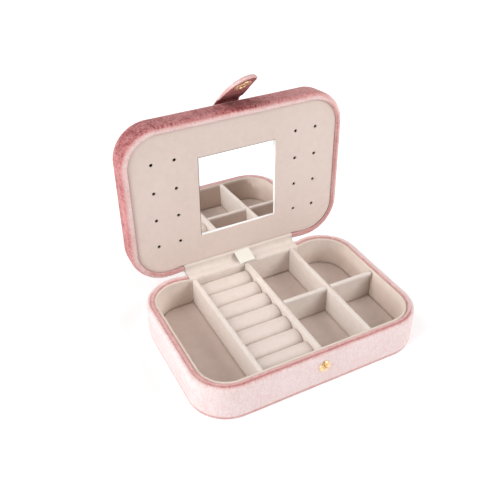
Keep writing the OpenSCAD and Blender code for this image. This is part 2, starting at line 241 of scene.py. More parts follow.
def around(name, profile, mats, edit=None, place=None, step=2.0, tone=None, wave=0.0, seed=1.0, seg=24):
    """Sweeps a closed section (distance in from the outline, height) round the box's outline."""
    st, total = outline(step, seg, CUTS)
    prof = np.array(profile, float)[:, :2]
    P = np.zeros((len(st), len(prof), 3))
    T = np.zeros((len(st), len(prof)))
    for i, (x, y, nx, ny, s) in enumerate(st):
        for j, (e, z) in enumerate(prof):
            if wave:
                e = e + wave * soft(x, y, z, 14, seed) + 0.4 * wave * soft(x, y, z * 2, 4, seed + 2)
            if edit:
                e, z = edit(x, y, nx, ny, e, z)
            P[i, j] = (x - nx * e, y - ny * e, z)
            if tone is not None:
                T[i, j] = tone(j, x, y, e, z) if callable(tone) else tone[j]
    if place:
        P = place(P)
    U = np.append(st[:, 4], total) / 1000
    seg_len = np.linalg.norm(np.diff(np.vstack([prof, prof[:1]]), axis=0), axis=1)
    V = np.concatenate([[0], np.cumsum(seg_len)]) / 1000
    return grid(name, P, mats, wrap_i=True, wrap_j=True, U=U, V=V, attrs={"tone": T})


def loft_x(name, xs, section, mats, place=None, tone=None, **kw):
    """Sections along X. section(x) gives the closed ring of (y, z) there, all with the same count."""
    P = [[(x, y, z) for y, z in section(x)] for x in xs]
    P = np.array(P)
    if place:
        P = place(P)
    attrs = {"tone": tone if tone is not None else 0.5}
    return grid(name, P, mats, attrs=attrs, **kw)


def ease(t):
    t = min(1.0, max(0.0, t))
    return t * t * (3 - 2 * t)


def boolean_cut(ob, cutter):
    m = ob.modifiers.new("cut", "BOOLEAN")
    m.operation, m.solver, m.object = "DIFFERENCE", "EXACT", cutter
    bpy.context.view_layer.update()
    me = bpy.data.meshes.new_from_object(ob.evaluated_get(bpy.context.evaluated_depsgraph_get()))
    ob.modifiers.clear()
    old = ob.data
    ob.data = me
    me.name = ob.name
    bpy.data.meshes.remove(old)
    gone = cutter.data
    bpy.data.objects.remove(cutter)
    bpy.data.meshes.remove(gone)


def block(x0, x1, y0, y1, z0, z1):
    v = [(x, y, z) for x in (x0, x1) for y in (y0, y1) for z in (z0, z1)]
    f = [(0, 1, 3, 2), (4, 6, 7, 5), (0, 4, 5, 1), (2, 3, 7, 6), (0, 2, 6, 4), (1, 5, 7, 3)]
    return build("cutter", v, f, [], smooth=False)


def piece(ob, body, slot, *nodes):
    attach(ob, body)
    if nodes:
        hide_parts(*nodes)
    return ob


# ---- materials -------------------------------------------------------------

class Nodes:
    """A new material and short ways to add its nodes."""

    def __init__(self, name, **values):
        self.m = bpy.data.materials.new(name)
        self.m.use_nodes = True
        self.t = self.m.node_tree
        self.bsdf = self.t.nodes["Principled BSDF"]
        for key, v in values.items():
            self.bsdf.inputs[key.replace("_", " ")].default_value = v

    def new(self, kind, **values):
        n = self.t.nodes.new(kind)
        for key, v in values.items():
            if hasattr(n, key):
                setattr(n, key, v)
            else:
                n.inputs[key.replace("_", " ")].default_value = v
        return n

    def link(self, a, b):
        self.t.links.new(a, b)

    def coords(self):
        return self.new("ShaderNodeTexCoord")

    def noise(self, coord, scale, detail=3.0, rough=0.55, stretch=None):
        if stretch:
            mp = self.new("ShaderNodeMapping")
            mp.inputs["Scale"].default_value = stretch
            self.link(coord, mp.inputs["Vector"])
            coord = mp.outputs["Vector"]
        n = self.new("ShaderNodeTexNoise", Scale=scale, Detail=detail, Roughness=rough)
        self.link(coord, n.inputs["Vector"])
        return n.outputs["Fac"]

    def math(self, op, a, b=None, clamp=False):
        n = self.new("ShaderNodeMath", operation=op, use_clamp=clamp)
        for k, v in enumerate((a, b)):
            if v is None:
                continue
            if isinstance(v, (int, float)):
                n.inputs[k].default_value = v
            else:
                self.link(v, n.inputs[k])
        return n.outputs["Value"]

    def ramp(self, fac, stops, interpolation="LINEAR"):
        n = self.new("ShaderNodeValToRGB")
        cr = n.color_ramp
        cr.interpolation = interpolation
        while len(cr.elements) < len(stops):
            cr.elements.new(0.5)
        for el, (pos, col) in zip(cr.elements, stops):
            el.position = pos
            el.color = (*col, 1)
        self.link(fac, n.inputs["Fac"])
        return n.outputs["Color"]

    def mix(self, fac, a, b, blend="MIX"):
        n = self.new("ShaderNodeMix", data_type="RGBA", blend_type=blend)
        for sock, v in ((n.inputs[0], fac), (n.inputs[6], a), (n.inputs[7], b)):
            if isinstance(v, (int, float)):
                sock.default_value = v
            elif isinstance(v, (tuple, list)):
                sock.default_value = (*v, 1)
            else:
                self.link(v, sock)
        return n.outputs[2]

    def bump(self, height, strength=0.4, distance=0.0002, under=None):
        n = self.new("ShaderNodeBump", Strength=strength, Distance=distance)
        self.link(height, n.inputs["Height"])
        if under is not None:
            self.link(under, n.inputs["Normal"])
        self.link(n.outputs["Normal"], self.bsdf.inputs["Normal"])
        return n.outputs["Normal"]

    def color(self, out):
        self.link(out, self.bsdf.inputs["Base Color"])

    def rough(self, fac, lo, hi):
        n = self.new("ShaderNodeMapRange")
        n.inputs["To Min"].default_value = lo
        n.inputs["To Max"].default_value = hi
        self.link(fac, n.inputs["Value"])
        self.link(n.outputs["Result"], self.bsdf.inputs["Roughness"])


def velvet(name, stops, sheen=0.5, grain=0.5, patch=0.25, streak=0.3, wide=0.2):
    """Short crushed pile: fine sparkle, soft patches where the pile lies another way, and streaks down the wall. The
    tone attribute picks the colour along the stops: painted light and shade.
    """
    k = Nodes(name, Roughness=0.88, Sheen_Weight=sheen, Sheen_Roughness=0.35, Specular_IOR_Level=0.12)
    k.bsdf.inputs["Sheen Tint"].default_value = (1.0, 0.84, 0.81, 1)
    tc = k.coords()
    tone = k.new("ShaderNodeAttribute", attribute_name="tone").outputs["Fac"]
    fine = k.noise(tc.outputs["Object"], 820, 3.0, 0.65)
    lay = k.noise(tc.outputs["Object"], 300, 3.0, 0.55)
    broad = k.noise(tc.outputs["Object"], 55, 2.0, 0.5)
    down = k.noise(tc.outputs["UV"], 1.0, 3.0, 0.6, stretch=(820, 190, 1))
    f = tone
    for src, amount in ((fine, grain), (lay, patch), (broad, wide), (down, streak)):
        f = k.math("ADD", f, k.math("MULTIPLY", k.math("SUBTRACT", src, 0.5), amount))
    f = k.math("ADD", f, 0.0, clamp=True)
    k.color(k.ramp(f, stops))
    k.rough(lay, 0.8, 0.95)
    pile = k.noise(tc.outputs["Object"], 2600, 2.0, 0.7)
    height = k.math("ADD", k.math("MULTIPLY", pile, 0.6), k.math("MULTIPLY", fine, 0.8))
    k.bump(height, 0.55, 0.00035)
    return k.m


def suede(name, light, mid, dark, sheen=0.25, scale=1.0, bump=0.3, painted_light_ramp=None):
    """Short brushed cloth, almost even, with a faint nap that lies in patches. The tone attribute mixes in painted
    shade, and the optional ramp up the height is painted light.
    """
    k = Nodes(name, Roughness=0.92, Sheen_Weight=sheen, Sheen_Roughness=0.5, Specular_IOR_Level=0.12)
    k.bsdf.inputs["Sheen Tint"].default_value = (1.0, 0.95, 0.9, 1)
    tc = k.coords()
    fine = k.noise(tc.outputs["Object"], 2100 * scale, 3.0, 0.65)
    nap = k.noise(tc.outputs["Object"], 240 * scale, 3.0, 0.55)
    wide = k.noise(tc.outputs["Object"], 40 * scale, 2.0, 0.5)
    f = k.math("ADD", k.math("MULTIPLY", fine, 0.5), k.math("MULTIPLY", nap, 0.3))
    f = k.math("ADD", f, k.math("MULTIPLY", wide, 0.2))
    col = k.ramp(f, [(0.30, dark), (0.5, mid), (0.68, light)])
    # Painted light: the colour is scaled up the height, lighter at the low end and darker at the high end.
    if painted_light_ramp:
        lo, hi, a, b = painted_light_ramp
        xyz = k.new("ShaderNodeSeparateXYZ")
        k.link(tc.outputs["Object"], xyz.inputs[0])
        along = k.math("DIVIDE", k.math("SUBTRACT", xyz.outputs["Z"], lo), hi - lo, clamp=True)
        ends = [k.ramp(f, [(q, tuple(c * g for c in v)) for q, v in ((0.30, dark), (0.5, mid), (0.68, light))]) for g in (a, b)]
        col = k.mix(along, ends[0], ends[1])
    # Painted shade: the tone mixes the colour towards a darker reddish brown.
    tone = k.new("ShaderNodeAttribute", attribute_name="tone").outputs["Fac"]
    col = k.mix(k.math("MULTIPLY", tone, 0.8, clamp=True), col, tuple(c * g for c, g in zip(dark, (0.6, 0.49, 0.45))))
    k.color(col)
    k.rough(nap, 0.86, 0.97)
    k.bump(k.math("ADD", k.math("MULTIPLY", fine, 0.7), k.math("MULTIPLY", nap, 0.5)), bump, 0.0002)
    return k.m


# Velvet colours along the tone: pale where light is painted, rose to deep where shade is painted.
PALE = (0.757, 0.565, 0.55)
MID = (0.66, 0.375, 0.358)
ROSE = (0.50, 0.205, 0.203)
DEEP = (0.30, 0.080, 0.082)
STOPS = [(0.0, (0.82, 0.70, 0.695)), (0.22, PALE), (0.5, MID), (0.78, ROSE), (0.92, DEEP), (1.0, (0.17, 0.042, 0.044))]
# A darker ramp for the flap's inner face: painted shade.
SHADE = [(0.0, PALE), (0.3, MID), (0.5, ROSE), (0.72, (0.26, 0.068, 0.07)), (1.0, (0.12, 0.024, 0.026))]

# One velvet in lit and shaded copies: the pale base, the rose lid and the dark inner face of the flap are painted light
# and shade, through the tone attribute and the SHADE ramp.
velvet_pale = velvet("velvet_pale", STOPS, sheen=0.4, grain=0.6, patch=0.3, streak=0.35, wide=0.15)
velvet_rose = velvet("velvet_rose", STOPS, sheen=0.3, grain=0.6, patch=0.32, streak=0.3, wide=0.4)
velvet_deep_shade = velvet("velvet_deep_shade", SHADE, sheen=0.08, grain=0.8, patch=0.5, streak=0.3, wide=0.2)
# The panel's cloth carries painted light: it is lighter low on the open lid, by the hinge, and darker towards its top.
suede_panel = suede("suede_panel", (0.715, 0.60, 0.545), (0.685, 0.572, 0.518), (0.63, 0.515, 0.46), painted_light_ramp=(0.03, 0.135, 1.13, 0.94))
suede_board = suede("suede_board", (0.785, 0.70, 0.64), (0.735, 0.655, 0.602), (0.665, 0.57, 0.51))
suede_hinge = suede("suede_hinge", (0.83, 0.74, 0.68), (0.79, 0.695, 0.635), (0.71, 0.61, 0.545))
suede_beige = suede("suede_beige", (0.80, 0.69, 0.615), (0.745, 0.64, 0.57), (0.67, 0.56, 0.49))
suede_floor = suede("suede_floor", (0.71, 0.59, 0.535), (0.66, 0.545, 0.49), (0.59, 0.475, 0.42))
suede_roll = suede("suede_roll", (0.76, 0.665, 0.61), (0.73, 0.63, 0.574), (0.665, 0.555, 0.50))


def card_material(name, light, dark, glow=0.0):
    """Card: fine fibres and a few specks. The glow, when given, is emission: painted light standing in for the light
    the mirror throws back onto the card.
    """
    k = Nodes(name, Roughness=0.85, Specular_IOR_Level=0.3, Emission_Strength=glow)
    k.bsdf.inputs["Emission Color"].default_value = (1.0, 0.98, 0.96, 1)
    tc = k.coords()
    fibre = k.noise(tc.outputs["Object"], 900, 4.0, 0.7, stretch=(1, 0.25, 1))
    speck = k.noise(tc.outputs["Object"], 2600, 2.0, 0.6)
    col = k.ramp(fibre, [(0.3, dark), (0.7, light)])
    k.color(k.mix(k.math("GREATER_THAN", speck, 0.68), col, tuple(c * 0.6 for c in dark)))
    k.rough(fibre, 0.75, 0.95)
    k.bump(fibre, 0.25, 0.0001)
    return k.m


card_grey = card_material("card_grey", (0.075, 0.055, 0.042), (0.04, 0.03, 0.022))
card_white = card_material("card_white", (0.97, 0.96, 0.945), (0.93, 0.92, 0.90))
# Dark card for the window's left and top edges: painted shade.
card_painted_shade = card_material("card_painted_shade", (0.15, 0.13, 0.12), (0.10, 0.085, 0.075))
# White card that glows, for the window's right edge: painted light.
card_painted_light = card_material("card_painted_light", (0.97, 0.95, 0.93), (0.94, 0.92, 0.89), glow=0.2)


def foam_material():
    k = Nodes("foam", Roughness=0.9, Specular_IOR_Level=0.2)
    tc = k.coords()
    v = k.new("ShaderNodeTexVoronoi", Scale=1400.0)
    k.link(tc.outputs["Object"], v.inputs["Vector"])
    k.color(k.ramp(v.outputs["Distance"], [(0.0, (0.55, 0.53, 0.48)), (0.5, (0.88, 0.86, 0.80))]))
    k.rough(v.outputs["Distance"], 0.8, 1.0)
    k.bump(v.outputs["Distance"], 0.5, 0.0003)
    return k.m


def satin_material():
    """Woven satin: fine long floats across the ribbon."""
    k = Nodes("satin", Roughness=0.4, Sheen_Weight=0.2, Sheen_Roughness=0.3, Specular_IOR_Level=0.45)
    tc = k.coords()
    weave = k.noise(tc.outputs["UV"], 1.0, 2.0, 0.5, stretch=(900, 9000, 1))
    warp = k.noise(tc.outputs["UV"], 1.0, 2.0, 0.5, stretch=(7000, 500, 1))
    f = k.math("ADD", k.math("MULTIPLY", weave, 0.6), k.math("MULTIPLY", warp, 0.4))
    k.color(k.ramp(f, [(0.3, (0.80, 0.76, 0.66)), (0.55, (0.90, 0.875, 0.79)), (0.75, (0.95, 0.93, 0.86))]))
    k.rough(f, 0.32, 0.5)
    k.bump(f, 0.25, 0.00008)
    return k.m


def gold_material():
    """Thin bright plating: fine turning marks, small dull patches and a little wear. The tone attribute paints shade
    into the hollows, towards brown.
    """
    k = Nodes("gold_metal", Metallic=1.0, Roughness=0.22)
    tc = k.coords()
    fine = k.noise(tc.outputs["Object"], 1900, 2.0, 0.5)
    dull = k.noise(tc.outputs["Object"], 420, 3.0, 0.55)
    tone = k.new("ShaderNodeAttribute", attribute_name="tone").outputs["Fac"]
    col = k.ramp(dull, [(0.3, (0.86, 0.56, 0.28)), (0.55, (0.96, 0.73, 0.43)), (0.75, (1.0, 0.84, 0.57))])
    k.color(k.mix(k.math("MULTIPLY", tone, 1.0, clamp=True), col, (0.42, 0.17, 0.05)))
    k.rough(dull, 0.2, 0.38)
    k.bump(fine, 0.12, 0.00005)
    return k.m


def mirror_material():
    k = Nodes("mirror", Metallic=1.0, Roughness=0.01)
    tc = k.coords()
    haze = k.noise(tc.outputs["Object"], 55, 3.0, 0.5)
    dust = k.noise(tc.outputs["Object"], 2300, 2.0, 0.6)
    k.color(k.ramp(haze, [(0.3, (0.945, 0.95, 0.95)), (0.7, (0.965, 0.965, 0.96))]))
    n = k.new("ShaderNodeMapRange")
    n.inputs["From Min"].default_value, n.inputs["From Max"].default_value = 0.62, 0.8
    n.inputs["To Min"].default_value, n.inputs["To Max"].default_value = 0.006, 0.05
    k.link(dust, n.inputs["Value"])
    k.link(n.outputs["Result"], k.bsdf.inputs["Roughness"])
    return k.m


foam_white, satin_white, gold_metal, mirror_face = foam_material(), satin_material(), gold_material(), mirror_material()

for node, mat in {
    "base_board": card_grey, "lid_board": card_grey, "panel_frame": card_grey, "mirror_backing": card_grey,
    "floor_foam": foam_white, "snap_stud_rivet": gold_metal,
}.items():
    ob = frame["nodes"][node]
    if not ob.material_slots:
        ob.data.materials.append(mat)
    for sl in ob.material_slots:
        sl.link = "OBJECT"
        sl.material = mat


# ---- base: velvet over the wall and rim ------------------------------------

def arc(cx, cz, r, a0, a1, n):
    return [(cx + r * math.cos(math.radians(a)), cz + r * math.sin(math.radians(a))) for a in np.linspace(a0, a1, n)]


# outer face upwards, a crease, the rolled band, the turned-in leg, then back inside
base_face = ([(0.42, 1.3), (0.16, 1.55), (0.03, 2.1)] + [(0.0, z) for z in np.linspace(3.2, 20.8, 12)]
             + [(0.03, 21.9), (0.12, 22.9), (0.32, 23.8), (0.64, 24.55), (1.05, 25.1), (1.5, 25.42), (1.95, 25.58),
                (2.3, 25.58), (2.55, 25.46), (2.72, 25.3), (2.86, 25.22), (3.0, 25.3), (3.18, 25.52), (3.46, 25.74),
                (3.84, 25.88), (4.26, 25.9), (4.64, 25.78), (4.96, 25.52), (5.2, 25.12), (5.34, 24.5), (5.4, 23.0),
                (5.41, 20.8), (5.41, 19.0)])
base_inside = ([(4.4, 19.0), (4.4, 21.0)] + arc(2.6, 23.55, 1.6, 0, 180, 9) + [(0.9, 20.0), (0.9, 10.0), (0.9, 1.3)])
base_prof = base_face + base_inside


def steps(x, *pairs):
    """Straight lines between (x, value) pairs."""
    xs_, vs_ = zip(*pairs)
    return float(np.interp(x, xs_, vs_))


def toward(nx, ny, ax, ay, lo=-0.35, hi=0.35):
    """How far an outline normal looks along a direction, 0 to 1, easing over the corners."""
    u = (nx * ax + ny * ay) / math.hypot(ax, ay)
    return ease((u - lo) / (hi - lo))


def outline_normal(x, y):
    """Outward normal of the box's outline near a point of its wall."""
    dx = x - math.copysign(min(abs(x), W / 2 - R), x)
    dy = y - math.copysign(min(abs(y), D / 2 - R), y)
    d = math.hypot(dx, dy) or 1.0
    return dx / d, dy / d


def base_seam_and_shade(j, x, y, e, z):
    """How dark the pile is painted, side by side: painted light and shade, and darker at the foot where the wall turns
    in to the seam. Front and left: pale wall, a rose crease of painted shade and a pink inner band. Right and back:
    pale almost to the inner edge."""
    if j >= len(base_face):
        return 0.6
    e0, z0 = base_prof[j]
    if z0 < 19:
        return 0.08 + 0.72 * ease((2.5 - z0) / 0.8)
    nx, ny = outline_normal(x, y)
    far = toward(nx, ny, 1, 1)
    # The side tones are painted light and shade: the rose crease line shows only on the front and left, while the right
    # and back stay pale.
    front = steps(e0, (0.0, 0.08), (0.6, 0.12), (1.1, 0.24), (1.6, 0.42), (2.1, 0.60), (2.7, 0.78), (3.1, 0.70),
                  (3.6, 0.50), (4.2, 0.38), (4.9, 0.36), (5.4, 0.42))
    left = steps(e0, (0.0, 0.05), (0.9, 0.08), (1.4, 0.14), (1.9, 0.24), (2.4, 0.40), (2.9, 0.56), (3.4, 0.54),
                 (3.9, 0.50), (4.5, 0.56), (5.0, 0.56), (5.4, 0.52))
    near = front + (left - front) * max(0.0, -nx) ** 1.5
    away = steps(e0, (0.0, 0.0), (1.2, 0.04), (2.4, 0.12), (3.4, 0.20), (4.2, 0.34), (4.7, 0.50), (5.1, 0.58), (5.4, 0.5))
    away -= 0.10 * max(0.0, nx) * (1 - ease((e0 - 3.8) / 1.0))
    return near * (1 - far) + away * far


def spread(nx, ny, x):
    """The right and back walls stand a little fuller than the others, clear of the hinge."""
    return max(0.0, nx) * ease(nx / 0.5) + max(0.0, ny) * ease((abs(x) - HINGE - 2) / 6)


def base_edit(x, y, nx, ny, e, z):
    w = min(1.0, spread(nx, ny, x))
    e -= w * (0.6 + 0.5 * ease((z - 22.4) / 2.6)) * ease(z / 2.0)
    if z > 19 and e > 4.0:
        e += (0.45 * max(0.0, -nx) + 0.2 * max(0.0, -ny)) * ease((e - 4.0) / 1.2)
    return hinge_cut(H - 1.62)(x, y, nx, ny, e, z)


def liner_edit(x, y, nx, ny, e, z):
    e -= min(1.0, spread(nx, ny, x)) * 1.1 * ease((z - 14) / 9)
    return hinge_cut(H - 1.62)(x, y, nx, ny, e, z)


def hinge_cut(limit, low=True):
    def edit(x, y, nx, ny, e, z):
        if ny > 0.99 and abs(x) < HINGE + 0.8:
            d = ease((HINGE + 0.8 - abs(x)) / 0.8)
            lim = limit if d >= 1 else (limit + (1 - d) * (2.2 if low else -2.2))
            z = min(z, lim) if low else max(z, lim)
        return e, z
    return edit


wall = around("base_wall_velvet", base_prof, velvet_pale, edit=base_edit, tone=base_seam_and_shade, wave=0.07, seed=1)
piece(wall, "base", "velvet_pale", "base_velvet_cover")

# underside: velvet sheet with a rounded edge
under = [(0.35, 1.18), (0.2, 0.95), (0.15, 0.6), (0.22, 0.28), (0.45, 0.07), (0.8, 0.0), (2.0, 0.0), (4.0, 0.0)]
st, total = outline(3.0, 20)
rings = under + [(8.0, 0.0), (16.0, 0.0), (24.0, 0.0)]


def plan(e, st):
    """The outline drawn in by e."""
    return np.column_stack([st[:, 0] - st[:, 2] * e, st[:, 1] - st[:, 3] * e])


def slab(name, top_rings, bottom_rings, mats, place=None, tone=0.5, step=3.0, seg=20, lift=None, inset=None):
    """A closed plate from rings (inset, height): the top from its middle outwards, then the bottom back inwards."""
    st, total = outline(step, seg)
    rows = list(top_rings) + list(bottom_rings)
    P = np.zeros((len(rows), len(st), 3))
    T = np.zeros((len(rows), len(st)))
    for i, row in enumerate(rows):
        e, z = row[:2]
        xy = plan(e, st)
        if inset is not None:
            for j in range(len(st)):
                xy[j] -= st[j, 2:4] * inset(st[j, 2], st[j, 3]) * ease((16 - e) / 12)
        P[i, :, 0], P[i, :, 1], P[i, :, 2] = xy[:, 0], xy[:, 1], z
        T[i] = row[2] if len(row) > 2 else tone
    if lift is not None:
        n = len(top_rings)
        for i in range(len(rows)):
            for j in range(len(st)):
                P[i, j, 2] += lift(P[i, j, 0], P[i, j, 1], rows[i][0], i < n)
    if place:
        P = place(P)
    V = np.append(st[:, 4], total) / 1000
    step_u = np.array([0] + [math.dist(rows[i][:2], rows[i + 1][:2]) for i in range(len(rows) - 1)])
    return grid(name, P, mats, wrap_i=False, wrap_j=True, U=np.cumsum(step_u) / 1000, V=V, attrs={"tone": T})


bottom = slab("bottom_velvet", [(24.8, 1.18), (12, 1.18), (2, 1.18)], [(e, z, 0.5 if z > 1.0 else (0.22 if z > 0.8 else 0.1)) for e, z in rings],
              velvet_pale, tone=0.6)
piece(bottom, "base", "velvet_pale", "bottom_panel")

# ---- base: suede liner, floor, dividers ------------------------------------

top_r = 0.88
li = 5.54
liner_prof = ([(li, 3.3), (li, 12.0), (li, 21.0), (li, 24.46)] + arc(li + top_r, 24.46, top_r, 180, 0, 11)[1:-1]
              + [(INNER, 24.46), (INNER, 22.5), (INNER, 19.0), (INNER, 15.0), (INNER, 11.0), (INNER, 7.0),
                 (INNER + 0.02, 5.6), (INNER, 3.3)])


CROSS_Y = float(box_mm("cross_divider")[0][1])


# Painted shade on the liner: darker at the foot by the floor, on the right wall, on the inside of the front wall, and
# on its outer face down in the groove.
def liner_shade_map(j, x, y, e, z):
    if e > 6.9 and z < 24:
        nx, ny = outline_normal(x, y)
        return (0.35 * ease((6.4 - z) / 1.4) + 0.06 * max(0.0, nx) + 0.28 * max(0.0, nx) ** 6
                + 0.62 * ease((-ny - 0.35) / 0.5) * (1 - 0.8 * ease((z - 22.5) / 1.5)))
    if e > 6.5:
        return 0.35 * ease((6.4 - z) / 1.4) + 0.3 * max(0.0, outline_normal(x, y)[0]) ** 6 * ease((CROSS_Y - y) / 3)
    return 0.2 if e < 5.8 else 0.0


liner = around("liner_suede", liner_prof, suede_beige, edit=liner_edit, tone=liner_shade_map, wave=0.05, seed=3)
piece(liner, "base", "suede", "base_liner")

D1, D2, D3 = (float(sum(box_mm(n)[k][0] for k in (0, 1)) / 2) for n in ("left_divider", "middle_divider", "right_divider"))
CY = float(sum(box_mm("cross_divider")[k][1] for k in (0, 1)) / 2)
DT = float(box_mm("left_divider")[1][0] - box_mm("left_divider")[0][0])
DTOP = float(box_mm("left_divider")[1][2])
IW, ID = W / 2 - INNER, D / 2 - INNER


def floor_height(x, y):
    """The floor cloth: it sinks a little along the walls and dividers and swells between them."""
    near = 99.0
    for c in (D1, D2, D3):
        if c != D3 or x > D2:
            near = min(near, abs(x - c) - DT / 2)
    if x > D2:
        near = min(near, abs(y - CY) - DT / 2)
    near = min(near, IW - abs(x), ID - abs(y))
    rr = R - INNER
    cx, cy = IW - rr, ID - rr
    if abs(x) > cx and abs(y) > cy:
        near = min(near, rr - math.hypot(abs(x) - cx, abs(y) - cy))
    near = max(near, 0.0)
    return -0.35 * math.exp(-near / 1.1) + 0.07 * soft(x, y, 0, 9, 4), near


xs = np.arange(-IW, IW + 0.01, 1.0)
xs = np.linspace(-IW, IW, int(2 * IW / 1.1))
ys = np.linspace(-ID, ID, int(2 * ID / 1.1))
verts, faces, wall_shade = [], [], []
rr = R - INNER


def pull_in(x, y):
    """Keeps a floor point inside the rounded corners."""
    cx, cy = IW - rr, ID - rr
    if abs(x) > cx and abs(y) > cy:
        dx, dy = abs(x) - cx, abs(y) - cy
        # square corner to round corner
        m = max(dx, dy)
        d = math.hypot(dx, dy)
        if d > 0:
            k = m / d
            dx, dy = dx * k, dy * k
        return math.copysign(cx + dx, x), math.copysign(cy + dy, y)
    return x, y


for x in xs:
    for y in ys:
        px, py = pull_in(x, y)
        dz, near = floor_height(px, py)
        verts.append((px, py, FLOOR + dz))
        # Painted shade: the floor cloth is darker close to the walls and dividers.
        wall_shade.append(0.55 * math.exp(-near / 0.9))
ny_ = len(ys)
uv = []
for i in range(len(xs) - 1):
    for j in range(ny_ - 1):
        f = (i * ny_ + j, (i + 1) * ny_ + j, (i + 1) * ny_ + j + 1, i * ny_ + j + 1)
        faces.append(f)
        uv += [(verts[v][0] / 1000, verts[v][1] / 1000) for v in f]
floor_cloth = build("floor_suede", verts, faces, suede_floor, uv=uv, attrs={"tone": wall_shade}, fix=False)
sol = floor_cloth.modifiers.new("thickness", "SOLIDIFY")
sol.thickness, sol.offset = 0.0006, -1
bpy.context.view_layer.update()
me = bpy.data.meshes.new_from_object(floor_cloth.evaluated_get(bpy.context.evaluated_depsgraph_get()))
floor_cloth.modifiers.clear()
floor_cloth.data = me
piece(floor_cloth, "base", "suede", "floor_lining")


def wrapped_board(name, length, z0, z1, t, mat, seed, along_y=True, centre=0.0, offset=0.0, step=1.2):
    """A card board wrapped in cloth: soft shoulders, a slightly full top and faces that are not quite flat."""
    n = max(8, int(length / step))
    us = np.linspace(-length / 2, length / 2, n)
    P, T = [], []
    for u in us:
        ring, tone = [], []
        fat = t / 2 * (1 + 0.035 * soft(u, seed * 9, 0, 11, seed))
        top = z1 + 0.10 * soft(u, seed * 5, 3, 16, seed + 1)
        zs = [z0, z0 + 0.8, z0 + 2.4] + list(np.linspace(z0 + 5, z1 - 3.2, 5)) + [z1 - 2.3]
        side = [(fat, z) for z in zs]
        r = fat
        shoulder = [(r * math.cos(a) ** 0.82, top - r * 0.95 + r * 0.95 * math.sin(a))
                    for a in np.linspace(0.0, math.pi / 2, 8)][1:]
        right = side + shoulder
        left = [(-a, z) for a, z in right[::-1]][1:]
        for a, z in right + left:
            w = 0.05 * soft(u, a * 20, z, 7, seed + 3)
            ring.append((a + math.copysign(w, a) if abs(a) > 0.2 else a, z))
            # Painted shade in the tone: darker at the foot by the floor and a little less at the top; on the cross
            # divider the back face and the right end of each front face are darker.
            shade_ = 0.62 * ease((a - 0.5) / 0.4) * (1 - ease((z - (z1 - 1.6)) / 1.0)) if not along_y else 0.0
            if not along_y and a < -0.5:
                lo, hi = (D2, D3) if offset + u < D3 else (D3, IW)
                shade_ += 0.5 * ease(((offset + u - lo) / (hi - lo) - 0.58) / 0.42) * (1 - ease((z - (z1 - 3.5)) / 2.5))
            tone.append(0.45 * math.exp(-max(0.0, z - FLOOR) / 0.7) - 0.10 * ease((z - (z1 - 0.8)) / 0.6) + shade_)
        if along_y:
            P.append([(centre + a, offset + u, z) for a, z in ring])
        else:
            P.append([(offset + u, centre + a, z) for a, z in ring])
        T.append(tone)
    return grid(name, P, mat, attrs={"tone": np.array(T)})


z_low = FLOOR - 0.3
lap = (FLOOR + DTOP) / 2
left_div = wrapped_board("divider_left_suede", 2 * ID - 0.1, z_low, DTOP, DT, suede_board, 1, centre=D1)
mid_div = wrapped_board("divider_middle_suede", 2 * ID - 0.1, z_low, DTOP, DT, suede_board, 2, centre=D2)
right_div = wrapped_board("divider_right_suede", 2 * ID - 0.1, z_low, DTOP, DT, suede_board, 3, centre=D3)
cx0, cx1 = D2 + DT / 2 + 0.05, IW - 0.05
cross_div = wrapped_board("divider_cross_suede", cx1 - cx0, z_low, DTOP - 0.1, DT, suede_board, 4, along_y=False,
                          centre=CY, offset=(cx0 + cx1) / 2)
boolean_cut(right_div, block(D3 - 5, D3 + 5, CY - DT / 2 - 0.12, CY + DT / 2 + 0.12, -1, lap))
boolean_cut(cross_div, block(D3 - DT / 2 - 0.12, D3 + DT / 2 + 0.12, CY - 5, CY + 5, lap - 0.05, 40))
for ob, node in ((left_div, "left_divider"), (mid_div, "middle_divider"), (right_div, "right_divider"),
                 (cross_div, "cross_divider")):
    piece(ob, "base", "suede", node)

# ---- ring rolls ------------------------------------------------------------

